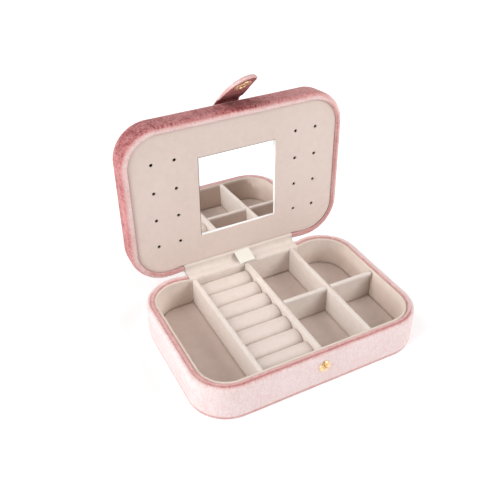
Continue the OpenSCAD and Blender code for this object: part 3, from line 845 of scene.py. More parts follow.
for k in range(1, 8):
    lo, hi = box_mm(f"ring_roll_{k}")
    x0, x1, y0, y1, z1 = lo[0], hi[0], lo[1], hi[1], hi[2]
    yc, hw = (y0 + y1) / 2, (y1 - y0) / 2
    us = np.unique(np.concatenate([np.array([0, 0.12, 0.3, 0.55, 0.9, 1.4, 2.2]), np.linspace(3, x1 - x0 - 3, 26),
                                   (x1 - x0) - np.array([2.2, 1.4, 0.9, 0.55, 0.3, 0.12, 0])]))
    P, T = [], []
    for u in us:
        x = x0 + u
        d = min(u, x1 - x0 - u)
        # the cloth is wrapped round the ends, so the edge is drawn in over the last millimetre
        draw = 0.75 * (1 - math.sqrt(max(0.0, 1 - (1 - min(1.0, d / 1.1)) ** 2)))
        swell = 0.10 * soft(x, k * 11, 0, 12, k) + 0.06 * soft(x, k * 5, 7, 4, k)
        rr_ = hw + 0.25
        ring, tone = [], []
        angles = np.linspace(-90, 90, 25)
        for a in angles:
            s_, c_ = math.sin(math.radians(a)), math.cos(math.radians(a))
            # nearly round on top, pressed flat against its neighbours below
            yy = hw * (abs(s_) ** 0.92) * (1 if s_ > 0 else -1)
            zz = z1 - rr_ * (1 - c_ ** 0.9) * 0.78
            yy *= 1 - draw / hw
            zz -= draw * (0.25 + 0.75 * c_)
            zz += swell * c_ + 0.05 * soft(x, yc + yy, k, 3.5, k + 20)
            ring.append((yc + yy, zz))
            depth = z1 - zz
            # Painted shade: darker down each roll's sides towards the gaps between the rolls.
            tone.append(0.10 * ease((depth - 1.2) / 2.4) + 0.55 * ease((depth - 3.9) / 1.6))
        zb = FLOOR - 0.2
        e = hw - draw
        low = [(yc + e, z) for z in (13.5, 9.5, zb)] + [(yc - e, z) for z in (zb, 9.5, 13.5)]
        ring += low
        tone += [0.8] * 6
        P.append([(x, y, z) for y, z in ring])
        T.append(tone)
    roll = grid(f"roll_{k}_suede", P, suede_roll, attrs={"tone": np.array(T)})
    piece(roll, "base", "roll_suede", f"ring_roll_{k}")


# ---- lid -------------------------------------------------------------------

# the lip: a band inside a fine crease, then a turned-in edge; the band's light colour is painted light
lid_face = ([(2.6, LID - 1.8), (1.7, LID - 1.8), (1.12, LID - 1.84), (0.76, LID - 2.08), (0.47, LID - 2.55), (0.25, LID - 3.3),
             (0.1, LID - 4.3)]
            + [(0.0, z) for z in np.linspace(LID - 5.3, 4.2, 7)]
            + [(0.03, 3.2), (0.12, 2.3), (0.3, 1.6), (0.58, 1.02), (0.95, 0.58), (1.4, 0.27), (1.9, 0.09), (2.4, 0.01),
               (2.9, 0.01), (3.4, 0.08), (3.85, 0.22), (4.2, 0.44), (4.47, 0.78), (4.66, 1.25), (4.78, 1.9), (4.85, 3.4),
               (4.85, 7.0)])
lid_inside = ([(3.95, 7.0), (3.9, 4.5)] + arc(2.35, 2.45, 1.5, 0, -180, 9)
              + [(0.85, 5.0), (0.85, LID - 6), (1.15, LID - 4.2), (1.7, LID - 3.1), (2.3, LID - 2.75)])
lid_prof = lid_face + lid_inside


# Painted light and shade on the lid's velvet, side by side: dark rose walls, a pale lip band, a painted shadow under
# the flap and a painted highlight along the far top edge.
def lid_light_and_shade(j, x, y, e, z):
    if j >= len(lid_face):
        return 0.8
    e0, z0 = lid_prof[j]
    nx, ny = outline_normal(x, y)
    far = toward(nx, ny, 1, 1)
    corner = max(0.0, 2 * nx * ny)                        # 1 at the corner between the left and the front wall
    # the bump near x = 1 is the painted shadow of the flap on the top wall
    top_ = 0.79 + 0.02 * ease((-x - 20) / 30) - 0.09 * ease((x - 15) / 25) + 0.17 * math.exp(-((x - 1) / 12) ** 2)
    wall_ = top_ * max(0.0, -ny) ** 2 + 0.78 * max(0.0, -nx) ** 2 + 0.02 * corner
    e0 -= 0.55 * max(0.0, -ny) ** 2 * ease(e0 / 0.8)
    near = steps(e0, (0.0, wall_), (0.6, wall_), (1.2, 0.62), (1.9, 0.42), (2.5, 0.27), (3.2, 0.22), (4.2, 0.24),
                 (4.6, 0.34), (4.85, 0.5)) if z0 < 6 else wall_
    away = steps(e0, (0.0, 0.2), (1.0, 0.24), (1.6, 0.32), (2.4, 0.42), (3.0, 0.54), (3.6, 0.66), (4.1, 0.66),
                 (4.6, 0.5), (4.85, 0.4)) + (0.35 * ease((z0 - 2.5) / 8) if e0 < 0.9 else 0.0)
    t = near * (1 - far) + away * far
    # painted highlight along the rounded far edge, less under the flap; points tucked under the top cover are dark
    if z0 > LID - 5.5:
        t += (0.22 - t) * 0.85 * ease((z0 - (LID - 4.6)) / 1.6) * (1 - 0.8 * max(0.0, -ny) * ease((13 - abs(x - 1)) / 4))
        if lid_prof[j][0] > 1.3:
            t = 0.85
    return t


def lid_corner(nx, ny):
    """The lid's two front corners are not wrapped alike: the right one is drawn in, the left one stands full."""
    k_ = max(0.0, -2 * nx * ny) if (nx > 0 > ny) else (max(0.0, 2 * nx * ny) if (nx < 0 and ny < 0) else 0.0)
    return 0.6 * k_ if nx > 0 else -0.7 * k_


def lid_edit(x, y, nx, ny, e, z):
    pull = 0.75 * max(0.0, -ny) + 0.4 * max(0.0, -nx) - 0.65 * max(0.0, nx) - 0.7 * max(0.0, ny)
    if z < 3.6 and e > 3.0:
        e += pull * ease((e - 3.0) / 1.4)
    elif 3.6 <= z < 8 and e > 3.0:
        e += pull
    if z < 12:
        e -= 0.4 * min(1.0, spread(nx, ny, x)) * ease((12 - z) / 6)
    c_ = lid_corner(nx, ny)
    e += c_ * ease((z - 3.0) / 9.0) * (1 - (0.95 * ease((e - 0.1) / 1.0) if c_ > 0 and z > LID - 4.5 else 0.0))
    return hinge_cut(1.62, low=False)(x, y, nx, ny, e, z)


lid_wall = around("lid_wall_velvet", lid_prof, velvet_rose, edit=lid_edit, place=lid_to_rest,
                  tone=lid_light_and_shade, wave=0.07, seed=5)
piece(lid_wall, "lid", "velvet_rose", "lid_velvet_cover")


def crown(x, y, e, is_top):
    if not is_top:
        return 0.0
    a = max(0.0, 1 - (x / (W / 2)) ** 4) * max(0.0, 1 - (y / (D / 2)) ** 4)
    return 0.55 * a * ease((e - 1.0) / 14) + 0.10 * soft(x, y, 0, 22, 6) * ease((e - 2) / 8)


# Ring tones: a painted highlight on the rounded edge, lightest near 0.25, and painted shade under its overhang.
top_cover = slab(
    "lid_top_velvet",
    [(25.0, LID, 0.62), (21, LID, 0.62), (17, LID, 0.62), (13, LID, 0.62), (10, LID - 0.02, 0.62), (7.5, LID - 0.07, 0.6),
     (5.6, LID - 0.17, 0.58), (4.2, LID - 0.34, 0.52), (3.1, LID - 0.60, 0.42), (2.3, LID - 0.92, 0.32),
     (1.8, LID - 1.24, 0.25), (1.5, LID - 1.5, 0.3)],
    [(1.52, LID - 1.64, 0.7), (1.9, LID - 1.68, 0.8), (2.4, LID - 1.66, 0.8), (2.6, LID - 1.3, 0.8),
     (8, LID - 1.1, 0.8), (25.0, LID - 1.1, 0.8)],
    velvet_rose, place=lid_to_rest, step=2.4, seg=22, lift=crown, inset=lid_corner)
piece(top_cover, "lid", "velvet_rose", "lid_top_cover", "lid_top_foam")

# ---- earring panel ---------------------------------------------------------

p_lo, p_hi = box_mm("earring_panel")
PANEL_E = W / 2 - p_hi[0] - 0.02
PANEL_Z, PANEL_T = 1.5, 1.2
m_lo, m_hi = box_mm("mirror_glass")
WIN_W = m_hi[0] - m_lo[0] - 6
WIN_H = WIN_W + 1.3
WIN_Y = 1.0                     # the window's middle, towards the hinge
HOLES = [(sx * cx, D / 2 - (D / 2 - 1.5 * 20.3 + 0.45) - r * 20.3) for sx in (-1, 1) for cx in (44.0, 59.5) for r in range(4)]
curve = bpy.data.curves.new("panel", "CURVE")
curve.dimensions, curve.fill_mode = "2D", "BOTH"
bev = 0.34
curve.extrude, curve.bevel_depth, curve.bevel_resolution, curve.offset = (PANEL_T / 2 - bev) / 1000, bev / 1000, 4, -bev / 1000


def loop(points):
    s_ = curve.splines.new("POLY")
    s_.points.add(len(points) - 1)
    for p, (x, y) in zip(s_.points, points):
        p.co = (x / 1000, y / 1000, 0, 1)
    s_.use_cyclic_u = True


st_, _ = outline(4.0, 24)
loop([tuple(p) for p in plan(PANEL_E + 3.3, st_)])
hw, hh = WIN_W / 2, WIN_H / 2
CUT_X = 0.7                     # the window's corner next to the flap and on the left is cut a little inwards
loop([(x, y + WIN_Y) for x, y in ((-hw + CUT_X, -hh), (-hw + CUT_X / 2, 0), (-hw, hh), (0, hh), (hw, hh), (hw, 0), (hw, -hh), (0, -hh))])
for cx, cy in HOLES:
    loop([(cx + 1.12 * math.cos(a), cy + 1.12 * math.sin(a)) for a in np.linspace(0, 2 * math.pi, 25)[:-1]])
cob = bpy.data.objects.new("panel_curve", curve)
scene.collection.objects.link(cob)
bpy.context.view_layer.update()
me = bpy.data.meshes.new_from_object(cob.evaluated_get(bpy.context.evaluated_depsgraph_get()))
bpy.data.objects.remove(cob)
bm = bmesh.new()
bm.from_mesh(me)
bmesh.ops.remove_doubles(bm, verts=bm.verts, dist=1e-6)
bmesh.ops.recalc_face_normals(bm, faces=bm.faces)
inside = []
for f in bm.faces:
    c = f.calc_center_median() * 1000
    inner = abs(c.x) < hw + 0.4 and abs(c.y - WIN_Y) < hh + 0.4
    # The window's right edge takes the glowing white card (painted light), its hinge-side edge white card, and its left
    # and top edges dark card (painted shade).
    pale = c.x > hw - 0.1 or c.y - WIN_Y > hh - 0.1
    f.material_index = ((3 if c.x > hw - 0.1 else 1) if pale else 2) if inner and abs(f.normal.z) < 0.97 else 0
    f.smooth = abs(f.normal.z) < 0.999
co = np.array([v.co for v in bm.verts]) * 1000
# Painted shade: tone 1 darkens the cloth on the window's left and top bevels.
shade = bm.verts.layers.float.new("tone")
for v, c in zip(bm.verts, co):
    if -hw - 0.4 < c[0] < hw - 0.1 and -hh - 0.4 < c[1] - WIN_Y < hh - 0.1 and c[2] > -PANEL_T / 2 + 0.004:
        v[shade] = 1.0
co[:, 2] += PANEL_Z + PANEL_T / 2
co = lid_to_rest(co) / 1000
for v, c in zip(bm.verts, co):
    v.co = c
bmesh.ops.recalc_face_normals(bm, faces=bm.faces)
bm.to_mesh(me)
bm.free()
me.name = "earring_panel_suede"
me.materials.clear()
me.materials.append(suede_panel)
me.materials.append(card_white)
me.materials.append(card_painted_shade)
me.materials.append(card_painted_light)
panel = bpy.data.objects.new("earring_panel_suede", me)
scene.collection.objects.link(panel)

# its border: the cloth is drawn over the card's edge, so the edge is soft and dips into the lip
edge_rows = [(0.0, 2.68), (0.0, 2.2), (0.03, 1.95), (0.1, 1.78), (0.25, 1.66), (0.5, 1.58), (0.85, 1.53), (1.4, 1.507),
             (2.4, 1.4985), (3.3, 1.497), (3.9, 1.4975), (4.5, 1.502), (5.1, 1.52), (5.4, 1.6), (5.4, 2.3), (5.0, 2.68)]


# Painted shade cast by the lip onto the panel's edge: strongest on the left, fading over 3.4 mm.
def border_shade_map(j, x, y, e, z):
    nx, ny = outline_normal(x, y)
    amount = 0.22 + 0.55 * max(0.0, -nx) ** 2 + 0.1 * max(0.0, -ny) ** 2 - 0.2 * max(0.0, nx) ** 2 - 0.1 * max(0.0, ny) ** 2
    return amount * steps(edge_rows[j][0], (0.0, 1.0), (0.3, 0.95), (1.0, 0.62), (1.8, 0.3), (2.6, 0.1), (3.4, 0.0))


def border_edit(x, y, nx, ny, e, z):
    k_ = ease((PANEL_E + 3.0 - e) / 2.0)
    return e - k_ * (0.85 * max(0.0, nx) + 0.9 * max(0.0, ny) * ease((abs(x) - HINGE - 2) / 6) - 0.3 * max(0.0, -ny)), z


border = around("panel_border", [(PANEL_E + e, z) for e, z in edge_rows], suede_panel, place=lid_to_rest, tone=border_shade_map,
                edit=border_edit, step=3.0)
# card edge between the window and the mirror behind it: dark card on the left and top (painted shade), glowing white
# card on the right (painted light)
ring_ = []
for x_, y_, peek in ((-1, -1, 0.0), (1, -1, 0.0), (1, 1, 0.15), (-1, 1, 0.95)):
    for off, z_ in ((0.02, PANEL_Z + 0.55), (0.02, None), (0.7, None), (0.7, PANEL_Z + 0.55)):
        px, py = x_ * (hw + off) + CUT_X * (x_ < 0 and y_ < 0), WIN_Y + y_ * (hh + off)
        # on the left and top a thin lip of the dark card shows in front: painted shade along those edges
        if z_ is not None and off < 0.1 and (x_ < 0 or y_ < 0):
            px, py, z_ = px + 0.27 * (x_ < 0), py + 0.27 * (y_ < 0), PANEL_Z + 0.12
        zz = z_ if z_ is not None else PANEL_Z + PANEL_T + 0.10 + (WIN_Y + hh + 2.9 - py) * math.tan(math.radians(1.0))
        if z_ is None and off < 0.1:
            py -= peek
            px -= 0.1 * (x_ > 0)
        ring_.append((px, py, zz))
collar = grid("window_card", lid_to_rest(np.array(ring_).reshape(4, 4, 3)), [card_painted_shade, card_white, card_painted_light], wrap_i=True,
              smooth=False, face_mats=[0] * 4 + [2] * 4 + [1] * 4 + [0] * 4)
with bpy.context.temp_override(active_object=panel, object=panel, selected_objects=[panel, border, collar],
                               selected_editable_objects=[panel, border, collar]):
    bpy.ops.object.join()
piece(panel, "lid", "suede", "earring_panel")

# mirror: a thin plate with ground edges, glued in a little out of true
LEAN = math.radians(1.0)
mw, mh, mt, mb = WIN_W / 2 + 2.9, WIN_H / 2 + 2.9, 0.72, 0.3
rows_ = [(mb, 0.0), (0.0, mb), (0.0, mt - 0.15), (0.15, mt)]


def plate_ring(e, z):
    n = 6
    pts = []
    for sx, sy, a0 in ((1, -1, -90), (1, 1, 0), (-1, 1, 90), (-1, -1, 180)):
        for a in np.linspace(a0, a0 + 90, n):
            a = math.radians(a)
            pts.append((sx * (mw - 1) + (1 - e) * math.cos(a), WIN_Y + sy * (mh - 1) + (1 - e) * math.sin(a), z))
    return pts


P = np.array([plate_ring(e, z) for e, z in rows_])
P[..., 2] += PANEL_Z + PANEL_T + 0.08 + (WIN_Y + mh - P[..., 1]) * math.tan(LEAN)
glass = grid("mirror_plate", lid_to_rest(P), mirror_face, smooth=False)
piece(glass, "lid", "mirror", "mirror_glass")

# ---- fabric hinge ----------------------------------------------------------


def strip(name, path, thick, half, mats, wrinkle=0.0, seed=1.0, end_fray=0.0, tone=None, nx=120, centre=0.0, skew=None):
    """A band of cloth of the given thickness: path is its visible face in (y, z), swept along X."""
    line = spline(path, 0.45)
    nrm = normals2(line)
    k = len(line)
    xs = np.linspace(-half, half, nx)
    P, T = [], []
    for x in xs:
        ring, tn = [], []
        edge = ease((half - abs(x)) / 1.2)
        for side in (0, 1):
            order = range(k) if side == 0 else range(k - 1, -1, -1)
            for q in order:
                w = wrinkle * (soft(x * 0.35, q * 0.45 * 1.3, 0, 3.2, seed) + 0.5 * soft(x * 0.2, q * 0.45 * 2, 5, 1.6, seed + 1))
                w *= ease(q / 6.0) * ease((k - 1 - q) / 6.0)
                off = w if side == 0 else w - thick * (0.55 + 0.45 * edge)
                y, z = line[q] + nrm[q] * off
                px, py, pz = centre + x, y, z
                if skew:
                    px, py, pz = skew(x, q / (k - 1), px, py, pz)
                ring.append((px, py, pz))
                tn.append(tone(x, q / (k - 1), y, z) if tone else 0.5)
        P.append(ring)
        T.append(tn)
    return grid(name, P, mats, attrs={"tone": np.array(T)})


def rest_yz(y, z):
    p = lid_to_rest([(0.0, y, z)])[0]
    return float(p[1]), float(p[2])


lining_path = [(48.62, 5.6), (48.62, 12.0), (48.62, 19.0), (48.64, 22.4), (48.8, 23.9), (49.35, 24.95), (50.3, 25.4),
               (51.5, 25.42), (52.6, 25.3), (53.3, 25.12), (54.0, 25.32), (54.9, 25.36), (55.9, 25.46), (56.7, 25.95),
               (57.2, 26.8), (57.5, 27.6), (57.66, 28.3), (57.5, 28.95), (57.56, 29.6), (57.85, 30.2),
               (58.4, 30.68), (59.2, 30.86), (60.2, 30.88), (61.0, 30.85)]


# Painted shade in the lining's creases and low down by the floor.
def lining_shade_map(x, f, y, z):
    t = 0.0
    for cy_, cz_, s_, a in ((53.3, 25.1, 0.35, 0.2), (57.6, 28.6, 0.35, 0.2), (57.3, 27.0, 0.3, 0.12), (59.2, 30.8, 0.5, 0.3)):
        d = math.hypot(y - cy_, z - cz_)
        t += a * math.exp(-(d / s_) ** 2) * (0.7 + 0.5 * soft(x, cy_, 0, 14, 8))
    return t + 0.30 * ease((7.0 - z) / 1.4)


# the path runs from the wall up and back, so its left-hand normal faces the box's inside
lining = strip("hinge_lining_suede", lining_path, 0.4, HINGE + 0.1, suede_hinge, wrinkle=0.11, seed=7, tone=lining_shade_map)
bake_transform(lining)
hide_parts("hinge_lining")

strip_path = [(72.0, 25.08), (66.0, 25.18), (60.0, 25.28), (58.4, 25.2), (57.5, 24.85), (56.95, 24.1), (56.76, 23.0),
              (56.7, 20.0), (56.7, 12.0), (56.7, 5.0)]
# the velvet strip's visible face looks down and back; the path runs from the lid to the base
# Its tone paints shade in the fold where the strip turns down the base's back.
back_strip = strip("hinge_strip_velvet", strip_path, 0.55, HINGE, velvet_rose, wrinkle=0.05, seed=9,
                   tone=lambda x, f, y, z: 0.55 + 0.2 * math.exp(-((z - 24.6) / 0.8) ** 2))
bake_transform(back_strip)
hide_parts("hinge_strip")

# ---- satin tab -------------------------------------------------------------

tab_path = [(48.3, 26.3), (50.5, 27.3), (53.0, 28.35), (55.5, 29.35), (57.2, 29.95), (58.4, 30.35), (59.6, 30.68), (61.2, 30.75)]


def tab_skew(x, f, px, py, pz):
    # the free end is turned a little: its right corner stands forward and higher
    k = (1 - f) ** 1.3
    return (px + 0.75 * k, py - 0.055 * (x + 2) * k, pz + 0.115 * (x - 1.5) * k + 0.12 * math.cos(x * 0.5) * k)


tab_x = 0.85
tab = strip("satin_tab", tab_path, 0.28, 5.85, satin_white, wrinkle=0.02, seed=4, nx=28, centre=tab_x, skew=tab_skew,
            tone=lambda x, f, y, z: 0.0)
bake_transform(tab)
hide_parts("ribbon_tab")

# ---- closing flap -----------------------------------------------------------

SNAP_L = float((H + GAP + ROOT_Z - SNAP_Z - 2.2 * math.sin(math.radians(4.5))) / math.cos(math.radians(4.5)))
FLAP_R = 9.12
FLAP_L = SNAP_L + 9.4
FLAP_T = 2.0
d_yz = np.array([-math.sin(LIFT), -math.cos(LIFT)])       # along the flap, in the lid's closed frame
n_yz = np.array([-math.cos(LIFT), math.sin(LIFT)])        # out of its outer face
X3 = np.array([1.0, 0.0, 0.0])
TWIST, ASIDE, SHIFT, BOW, SAG = math.radians(9.0), math.tan(math.radians(1.55)), 0.8, 0.25, -0.2

# centre line in (y, z): out of the slot under the lid's top, round the fold and along the flap
root_line = spline([(-53.6, LID - 2.1), (-54.8, LID - 2.15), (-56.0, LID - 2.22), (-57.1, LID - 2.26),
                    (-58.0, LID - 2.42), (ROOT_Y + d_yz[0] * 1.6 + 0.0, ROOT_Z + d_yz[1] * 1.6 + 0.0)], 0.3)
root_step = np.concatenate([[0], np.cumsum(np.linalg.norm(np.diff(root_line, axis=0), axis=1))])
root_step = root_step - root_step[-1] + 1.6
root_dir = np.gradient(root_line, axis=0)


def flap_frame(t):
    """Point on the flap's centre line t mm past its fold, with its axes across and outwards, in the lid's frame."""
    if t >= 1.6:
        c2 = np.array([ROOT_Y, ROOT_Z]) + d_yz * t
        g = d_yz
    else:
        c2 = np.array([np.interp(t, root_step, root_line[:, k]) for k in (0, 1)])
        g = np.array([np.interp(t, root_step, root_dir[:, k]) for k in (0, 1)])
        g = g / np.linalg.norm(g)
        k_ = ease((t - 0.4) / 1.2)
        g = g * (1 - k_) + d_yz * k_
        g = g / np.linalg.norm(g)
    out = np.array([0.0, g[1], -g[0]])
    tt = max(0.0, t)
    bend = math.sin(math.pi * min(1.0, tt / FLAP_L))
    c = np.array([SHIFT + ASIDE * tt + BOW * bend, c2[0], c2[1]]) + out * SAG * bend
    a = TWIST * ease(tt / 30)
    across = X3 * math.cos(a) + out * math.sin(a)
    return c, across, out * math.cos(a) - X3 * math.sin(a)


# half of the section: inset from the edge, height over the middle, tone. Outer velvet wraps the edge and meets the
# inner velvet in a fine seam. The tone is painted light and shade: lighter where the velvet wraps the edge, dark on the
# inner face.
flap_prof = [(9.12, 1.04, 0.6), (7.0, 1.05, 0.6), (5.0, 1.05, 0.6), (3.4, 1.04, 0.6), (2.2, 1.0, 0.56), (1.3, 0.92, 0.5),
             (0.72, 0.77, 0.42), (0.33, 0.54, 0.38), (0.1, 0.27, 0.36), (0.0, -0.04, 0.36), (0.03, -0.34, 0.36),
             (0.13, -0.6, 0.38), (0.3, -0.8, 0.42), (0.52, -0.9, 0.5), (0.76, -0.9, 0.7), (0.92, -0.82, 0.9),
             (1.08, -0.88, 0.97), (1.4, -0.96, 0.93), (2.2, -1.0, 0.92), (3.4, -1.0, 0.9), (5.0, -1.0, 0.9),
             (7.0, -1.0, 0.9), (9.12, -1.0, 0.9)]
along_t = np.concatenate([np.arange(-4.6, 2.5, 0.4), np.linspace(2.9, FLAP_L - FLAP_R, 22)])
stations_ = [(t, -1.0, 0.0) for t in along_t]
stations_ += [(FLAP_L - FLAP_R, -math.cos(a), math.sin(a)) for a in np.linspace(0, math.pi, 34)[1:-1]]
stations_ += [(t, 1.0, 0.0) for t in along_t[::-1]]
P, T = [], []
for t0, cu, ct in stations_:
    ring, tn = [], []
    for e, v, tone_ in flap_prof:
        r = FLAP_R - e
        t, u = t0 + r * ct, r * cu
        thin = (0.6 if v > 0 else 0.36) + (0.4 if v > 0 else 0.64) * ease((t + 0.8) / 5.0)
        if v > -0.5:
            thin *= 1 + 0.75 * ease((t - 3) / 12) + 0.3 * ease((t - 29) / 5)
        if cu < 0:                                       # the left side flares at the root and bulges half way
            w_ = min(1.0, -u / 9)
            u += (-2.3 * (1 - ease((t + 3) / 4.5)) + 0.7 * math.exp(-((t - 4.5) / 3) ** 2)) * w_
            u -= 0.9 * math.exp(-((t - 20) / 7.5) ** 2) * min(1.0, -u / 9)
        else:
            u += (0.75 * math.exp(-((t - 29.5) / 5) ** 2) - 1.9 * (1 - ease((t + 3) / 6.5))) * min(1.0, u / 9)
        c, across, out = flap_frame(t)
        w = 0.06 * soft(u, t, v * 3, 4.5, 11) + 0.03 * soft(u, t, v * 3, 1.8, 12)
        v2 = v * thin + (w if v > 0 else -w)
        ring.append(c + across * u + out * v2)
        # Painted shade on the inner face, darkest near the root; painted light on the wrapped edges.
        tn.append((0.70 + 0.24 * ease((17 - t) / 15)) if e > 0.7 and v < -0.7 else tone_ + 0.02 + 0.16 * ease((e - 0.3) / 1.6))
    P.append(ring)
    T.append(tn)
# The inner face takes the darker shaded copy of the velvet: painted shade.
rear = [1 if flap_prof[j][0] > 0.7 and flap_prof[j][1] < -0.7 else 0 for j in range(len(flap_prof) - 1)]
flap = grid("flap_velvet", lid_to_rest(np.array(P)), [velvet_rose, velvet_deep_shade], wrap_i=False, wrap_j=False,
            attrs={"tone": np.array(T)}, face_mats=rear * (len(P) - 1), fix=False)
bm = bmesh.new()
bm.from_mesh(flap.data)
bmesh.ops.remove_doubles(bm, verts=bm.verts, dist=2e-6)
bmesh.ops.dissolve_degenerate(bm, dist=1e-7, edges=bm.edges)
bmesh.ops.holes_fill(bm, edges=[e for e in bm.edges if e.is_boundary], sides=0)
bmesh.ops.recalc_face_normals(bm, faces=bm.faces)
for f in bm.faces:
    f.smooth = True
bm.to_mesh(flap.data)
bm.free()
a0 = lid_to_rest([(0, -56.2, LID - 2.35)])[0] / 1000
a1 = lid_to_rest([(0, ROOT_Y + d_yz[0] * 2.6, ROOT_Z + d_yz[1] * 2.6)])[0] / 1000
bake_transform(flap)
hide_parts("flap_outer_velvet", "flap_inner_velvet", "flap_root_tab", "flap_core")


# ---- snap fastener ---------------------------------------------------------

def dish(name, profile, mats, frame_at, petals=0, relief=0.0, r_in=0.0, r_out=0.0, seg=72, closed=True):
    """A turned piece with petals pressed into it. profile is (radius, height) round the closed section."""
    P, T = [], []
    for k in range(seg):
        a = 2 * math.pi * k / seg
        ring, tn = [], []
        for q, (r, h) in enumerate(profile):
            # Painted shade: darker in the hollows of the profile and between the petals.
            dark = max(0.0, (profile[q - 1][1] + profile[(q + 1) % len(profile)][1]) / 2 - h - 0.03) * 3.5 if h > 0 else 0.0
            if petals and r_in < r < r_out and h > 0:
                s_ = math.sin(math.pi * (r - r_in) / (r_out - r_in))
                cut = abs(math.cos(petals * a / 2)) ** 0.7 - 0.55
                h = h + relief * s_ * cut
                dark += max(0.0, -cut) * s_ * 1.5
            ring.append((r * math.cos(a), r * math.sin(a), h))
            tn.append(min(0.9, dark))
        P.append(ring)
        T.append(tn)
    P = np.array(P)
    o, ex, ey, ez = frame_at
    Q = o + P[..., :1] * ex + P[..., 1:2] * ey + P[..., 2:] * ez
    return grid(name, Q, mats, wrap_i=True, wrap_j=True, attrs={"tone": np.array(T)})


SR = float(s_hi[0] - s_lo[0]) / 2
stud_at = (np.array([-0.35, -D / 2, SNAP_Z]), np.array([1.0, 0, 0]), np.array([0, 0, 1.0]), np.array([0, -1.0, 0]))
stud_prof = ([(0.6, 0.2), (0.6, 0.9), (0.54, 1.62), (0.62, 1.86), (0.78, 1.92), (0.93, 1.8), (1.02, 1.58), (0.98, 1.36),
              (0.94, 1.05), (1.08, 0.62), (1.45, 0.4), (1.8, 0.6), (2.2, 0.76), (2.6, 0.82), (2.95, 0.76), (3.2, 0.6),
              (3.36, 0.44), (3.46, 0.55), (3.64, 0.68), (3.84, 0.66), (4.0, 0.5), (4.1, 0.28), (4.05, 0.02), (3.4, 0.02), (2.0, 0.02)])
stud = dish("snap_stud_gold", stud_prof, gold_metal, stud_at, petals=5, relief=0.5, r_in=1.3, r_out=3.45)
piece(stud, "base", "gold_metal", "snap_stud")

c, across, out = flap_frame(SNAP_L)
along = np.cross(out, across)
c = c - across * 0.6            # riveted a little nearer to the left edge


def on_flap(side):
    o = lid_to_rest([c + out * (1.75 if side > 0 else -1.0)])[0]
    ends = lid_to_rest([c + out * (1.75 if side > 0 else -1.0) + v for v in (across, along * side, out * side)])
    ax = [e - o for e in ends]
    return (o, ax[0], ax[1], ax[2])


socket_prof = ([(2.66, -0.5), (2.7, -0.1), (2.66, 0.2), (2.72, 0.46), (2.86, 0.58), (3.04, 0.6), (3.2, 0.5), (3.36, 0.38),
                (3.8, 0.52), (4.3, 0.58), (4.8, 0.52), (5.2, 0.42), (5.5, 0.4), (5.8, 0.36), (6.0, 0.18), (5.95, 0.0),
                (5.0, -0.05), (3.1, -0.1), (3.0, -0.5)])
socket = dish("snap_socket_gold", socket_prof, gold_metal, on_flap(-1), petals=6, relief=0.4, r_in=3.2, r_out=5.4)
piece(socket, "flap", "gold_metal", "snap_socket")
cap_prof = [(0.02, 1.35), (1.2, 1.31), (2.4, 1.18), (3.5, 0.97), (4.5, 0.7), (5.2, 0.5), (5.7, 0.42), (5.95, 0.3),
            (6.0, 0.12), (5.9, -0.05), (4.5, -0.1), (2.0, -0.1), (0.02, -0.1)]
cap = dish("snap_cap_gold", cap_prof, gold_metal, on_flap(1))
piece(cap, "flap", "gold_metal", "snap_cap")

# ---- floor, light, camera --------------------------------------------------

k = Nodes("studio_floor", Roughness=0.6, Specular_IOR_Level=0.1)
tc = k.coords()
k.color(k.ramp(k.noise(tc.outputs["Object"], 9, 2.0, 0.5), [(0.3, (0.93, 0.93, 0.93)), (0.7, (0.95, 0.95, 0.95))]))
reach = k.new("ShaderNodeVectorMath", operation="LENGTH")
away_from = k.new("ShaderNodeVectorMath", operation="SUBTRACT")
away_from.inputs[1].default_value = (-0.05, -0.08, 0.0)
k.link(tc.outputs["Object"], away_from.inputs[0])
k.link(away_from.outputs[0], reach.inputs[0])
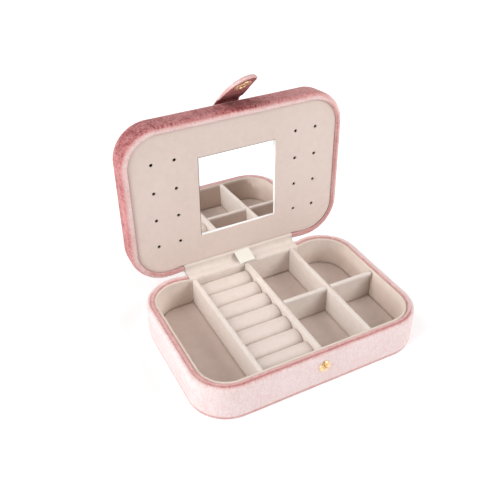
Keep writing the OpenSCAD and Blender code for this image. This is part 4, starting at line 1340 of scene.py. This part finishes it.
# Painted light: the floor glows, more the further it lies from a point in front of and left of the box, so it stays
# white over the box's shadows.
glow = k.ramp(k.math("MULTIPLY", reach.outputs["Value"], 0.4), [(0.04, (0.18,) * 3), (0.08, (0.38,) * 3), (0.16, (0.52,) * 3),
                                                              (0.26, (0.65,) * 3), (0.4, (0.8,) * 3), (0.8, (1.0,) * 3)])
k.bsdf.inputs["Emission Color"].default_value = (1, 1, 1, 1)
k.link(glow, k.bsdf.inputs["Emission Strength"])
floor = build("studio_floor", [(-4000, -4000, 0), (4000, -4000, 0), (4000, 4000, 0), (-4000, 4000, 0)], [(0, 1, 2, 3)],
              k.m, smooth=False, fix=False)
floor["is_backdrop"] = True

world = bpy.data.worlds.new("studio")
scene.world = world
world.use_nodes = True
bg = world.node_tree.nodes["Background"]
bg.inputs["Color"].default_value = (1.0, 1.0, 1.0, 1)
bg.inputs["Strength"].default_value = 0.0
# the sky is only seen, it lights nothing
seen = world.node_tree.nodes.new("ShaderNodeLightPath")
world.node_tree.links.new(seen.outputs["Is Camera Ray"], bg.inputs["Strength"])


def area(name, at, look, size, power, color=(1, 1, 1)):
    li_ = bpy.data.lights.new(name, "AREA")
    li_.shape, li_.size, li_.size_y = "RECTANGLE", size[0], size[1]
    li_.energy, li_.color = power, color
    ob = bpy.data.objects.new(name, li_)
    ob.location = at
    ob.rotation_euler = (Vector(look) - Vector(at)).to_track_quat("-Z", "Y").to_euler()
    scene.collection.objects.link(ob)
    return ob


def beam(name, az, el, size, power, color=(1, 1, 1)):
    """A softbox 1.5 m from the box. az 0 is in front of the box and 90 at its right."""
    a_, e_ = math.radians(az), math.radians(el)
    d_ = np.array([math.sin(a_) * math.cos(e_), -math.cos(a_) * math.cos(e_), math.sin(e_)])
    area(name, tuple(np.array([0, 0, 0.05]) + d_ * 1.5), (0, 0, 0.05), size, power, color)


beam("left_low", -90, 18, (1, 1), 14.9)
beam("left_high", -90, 50, (1, 1), 11.7)
beam("front_right", 45, 32, (1, 1), 17.0)
beam("right", 90, 40, (1, 1), 4.0)

cam_data = bpy.data.cameras.new("camera")
cam_data.sensor_width = 36.0
cam_data.lens = 48.383
cam_data.clip_start, cam_data.clip_end = 0.01, 20
cam = bpy.data.objects.new("camera", cam_data)
cam.location = (-0.175241, -0.290909, 0.313668)
cam.rotation_euler = (math.radians(54.007), math.radians(-0.05), math.radians(-27.707))
scene.collection.objects.link(cam)
scene.camera = cam
scene.view_settings.view_transform = "Standard"
scene.view_settings.look = "None"

low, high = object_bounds()
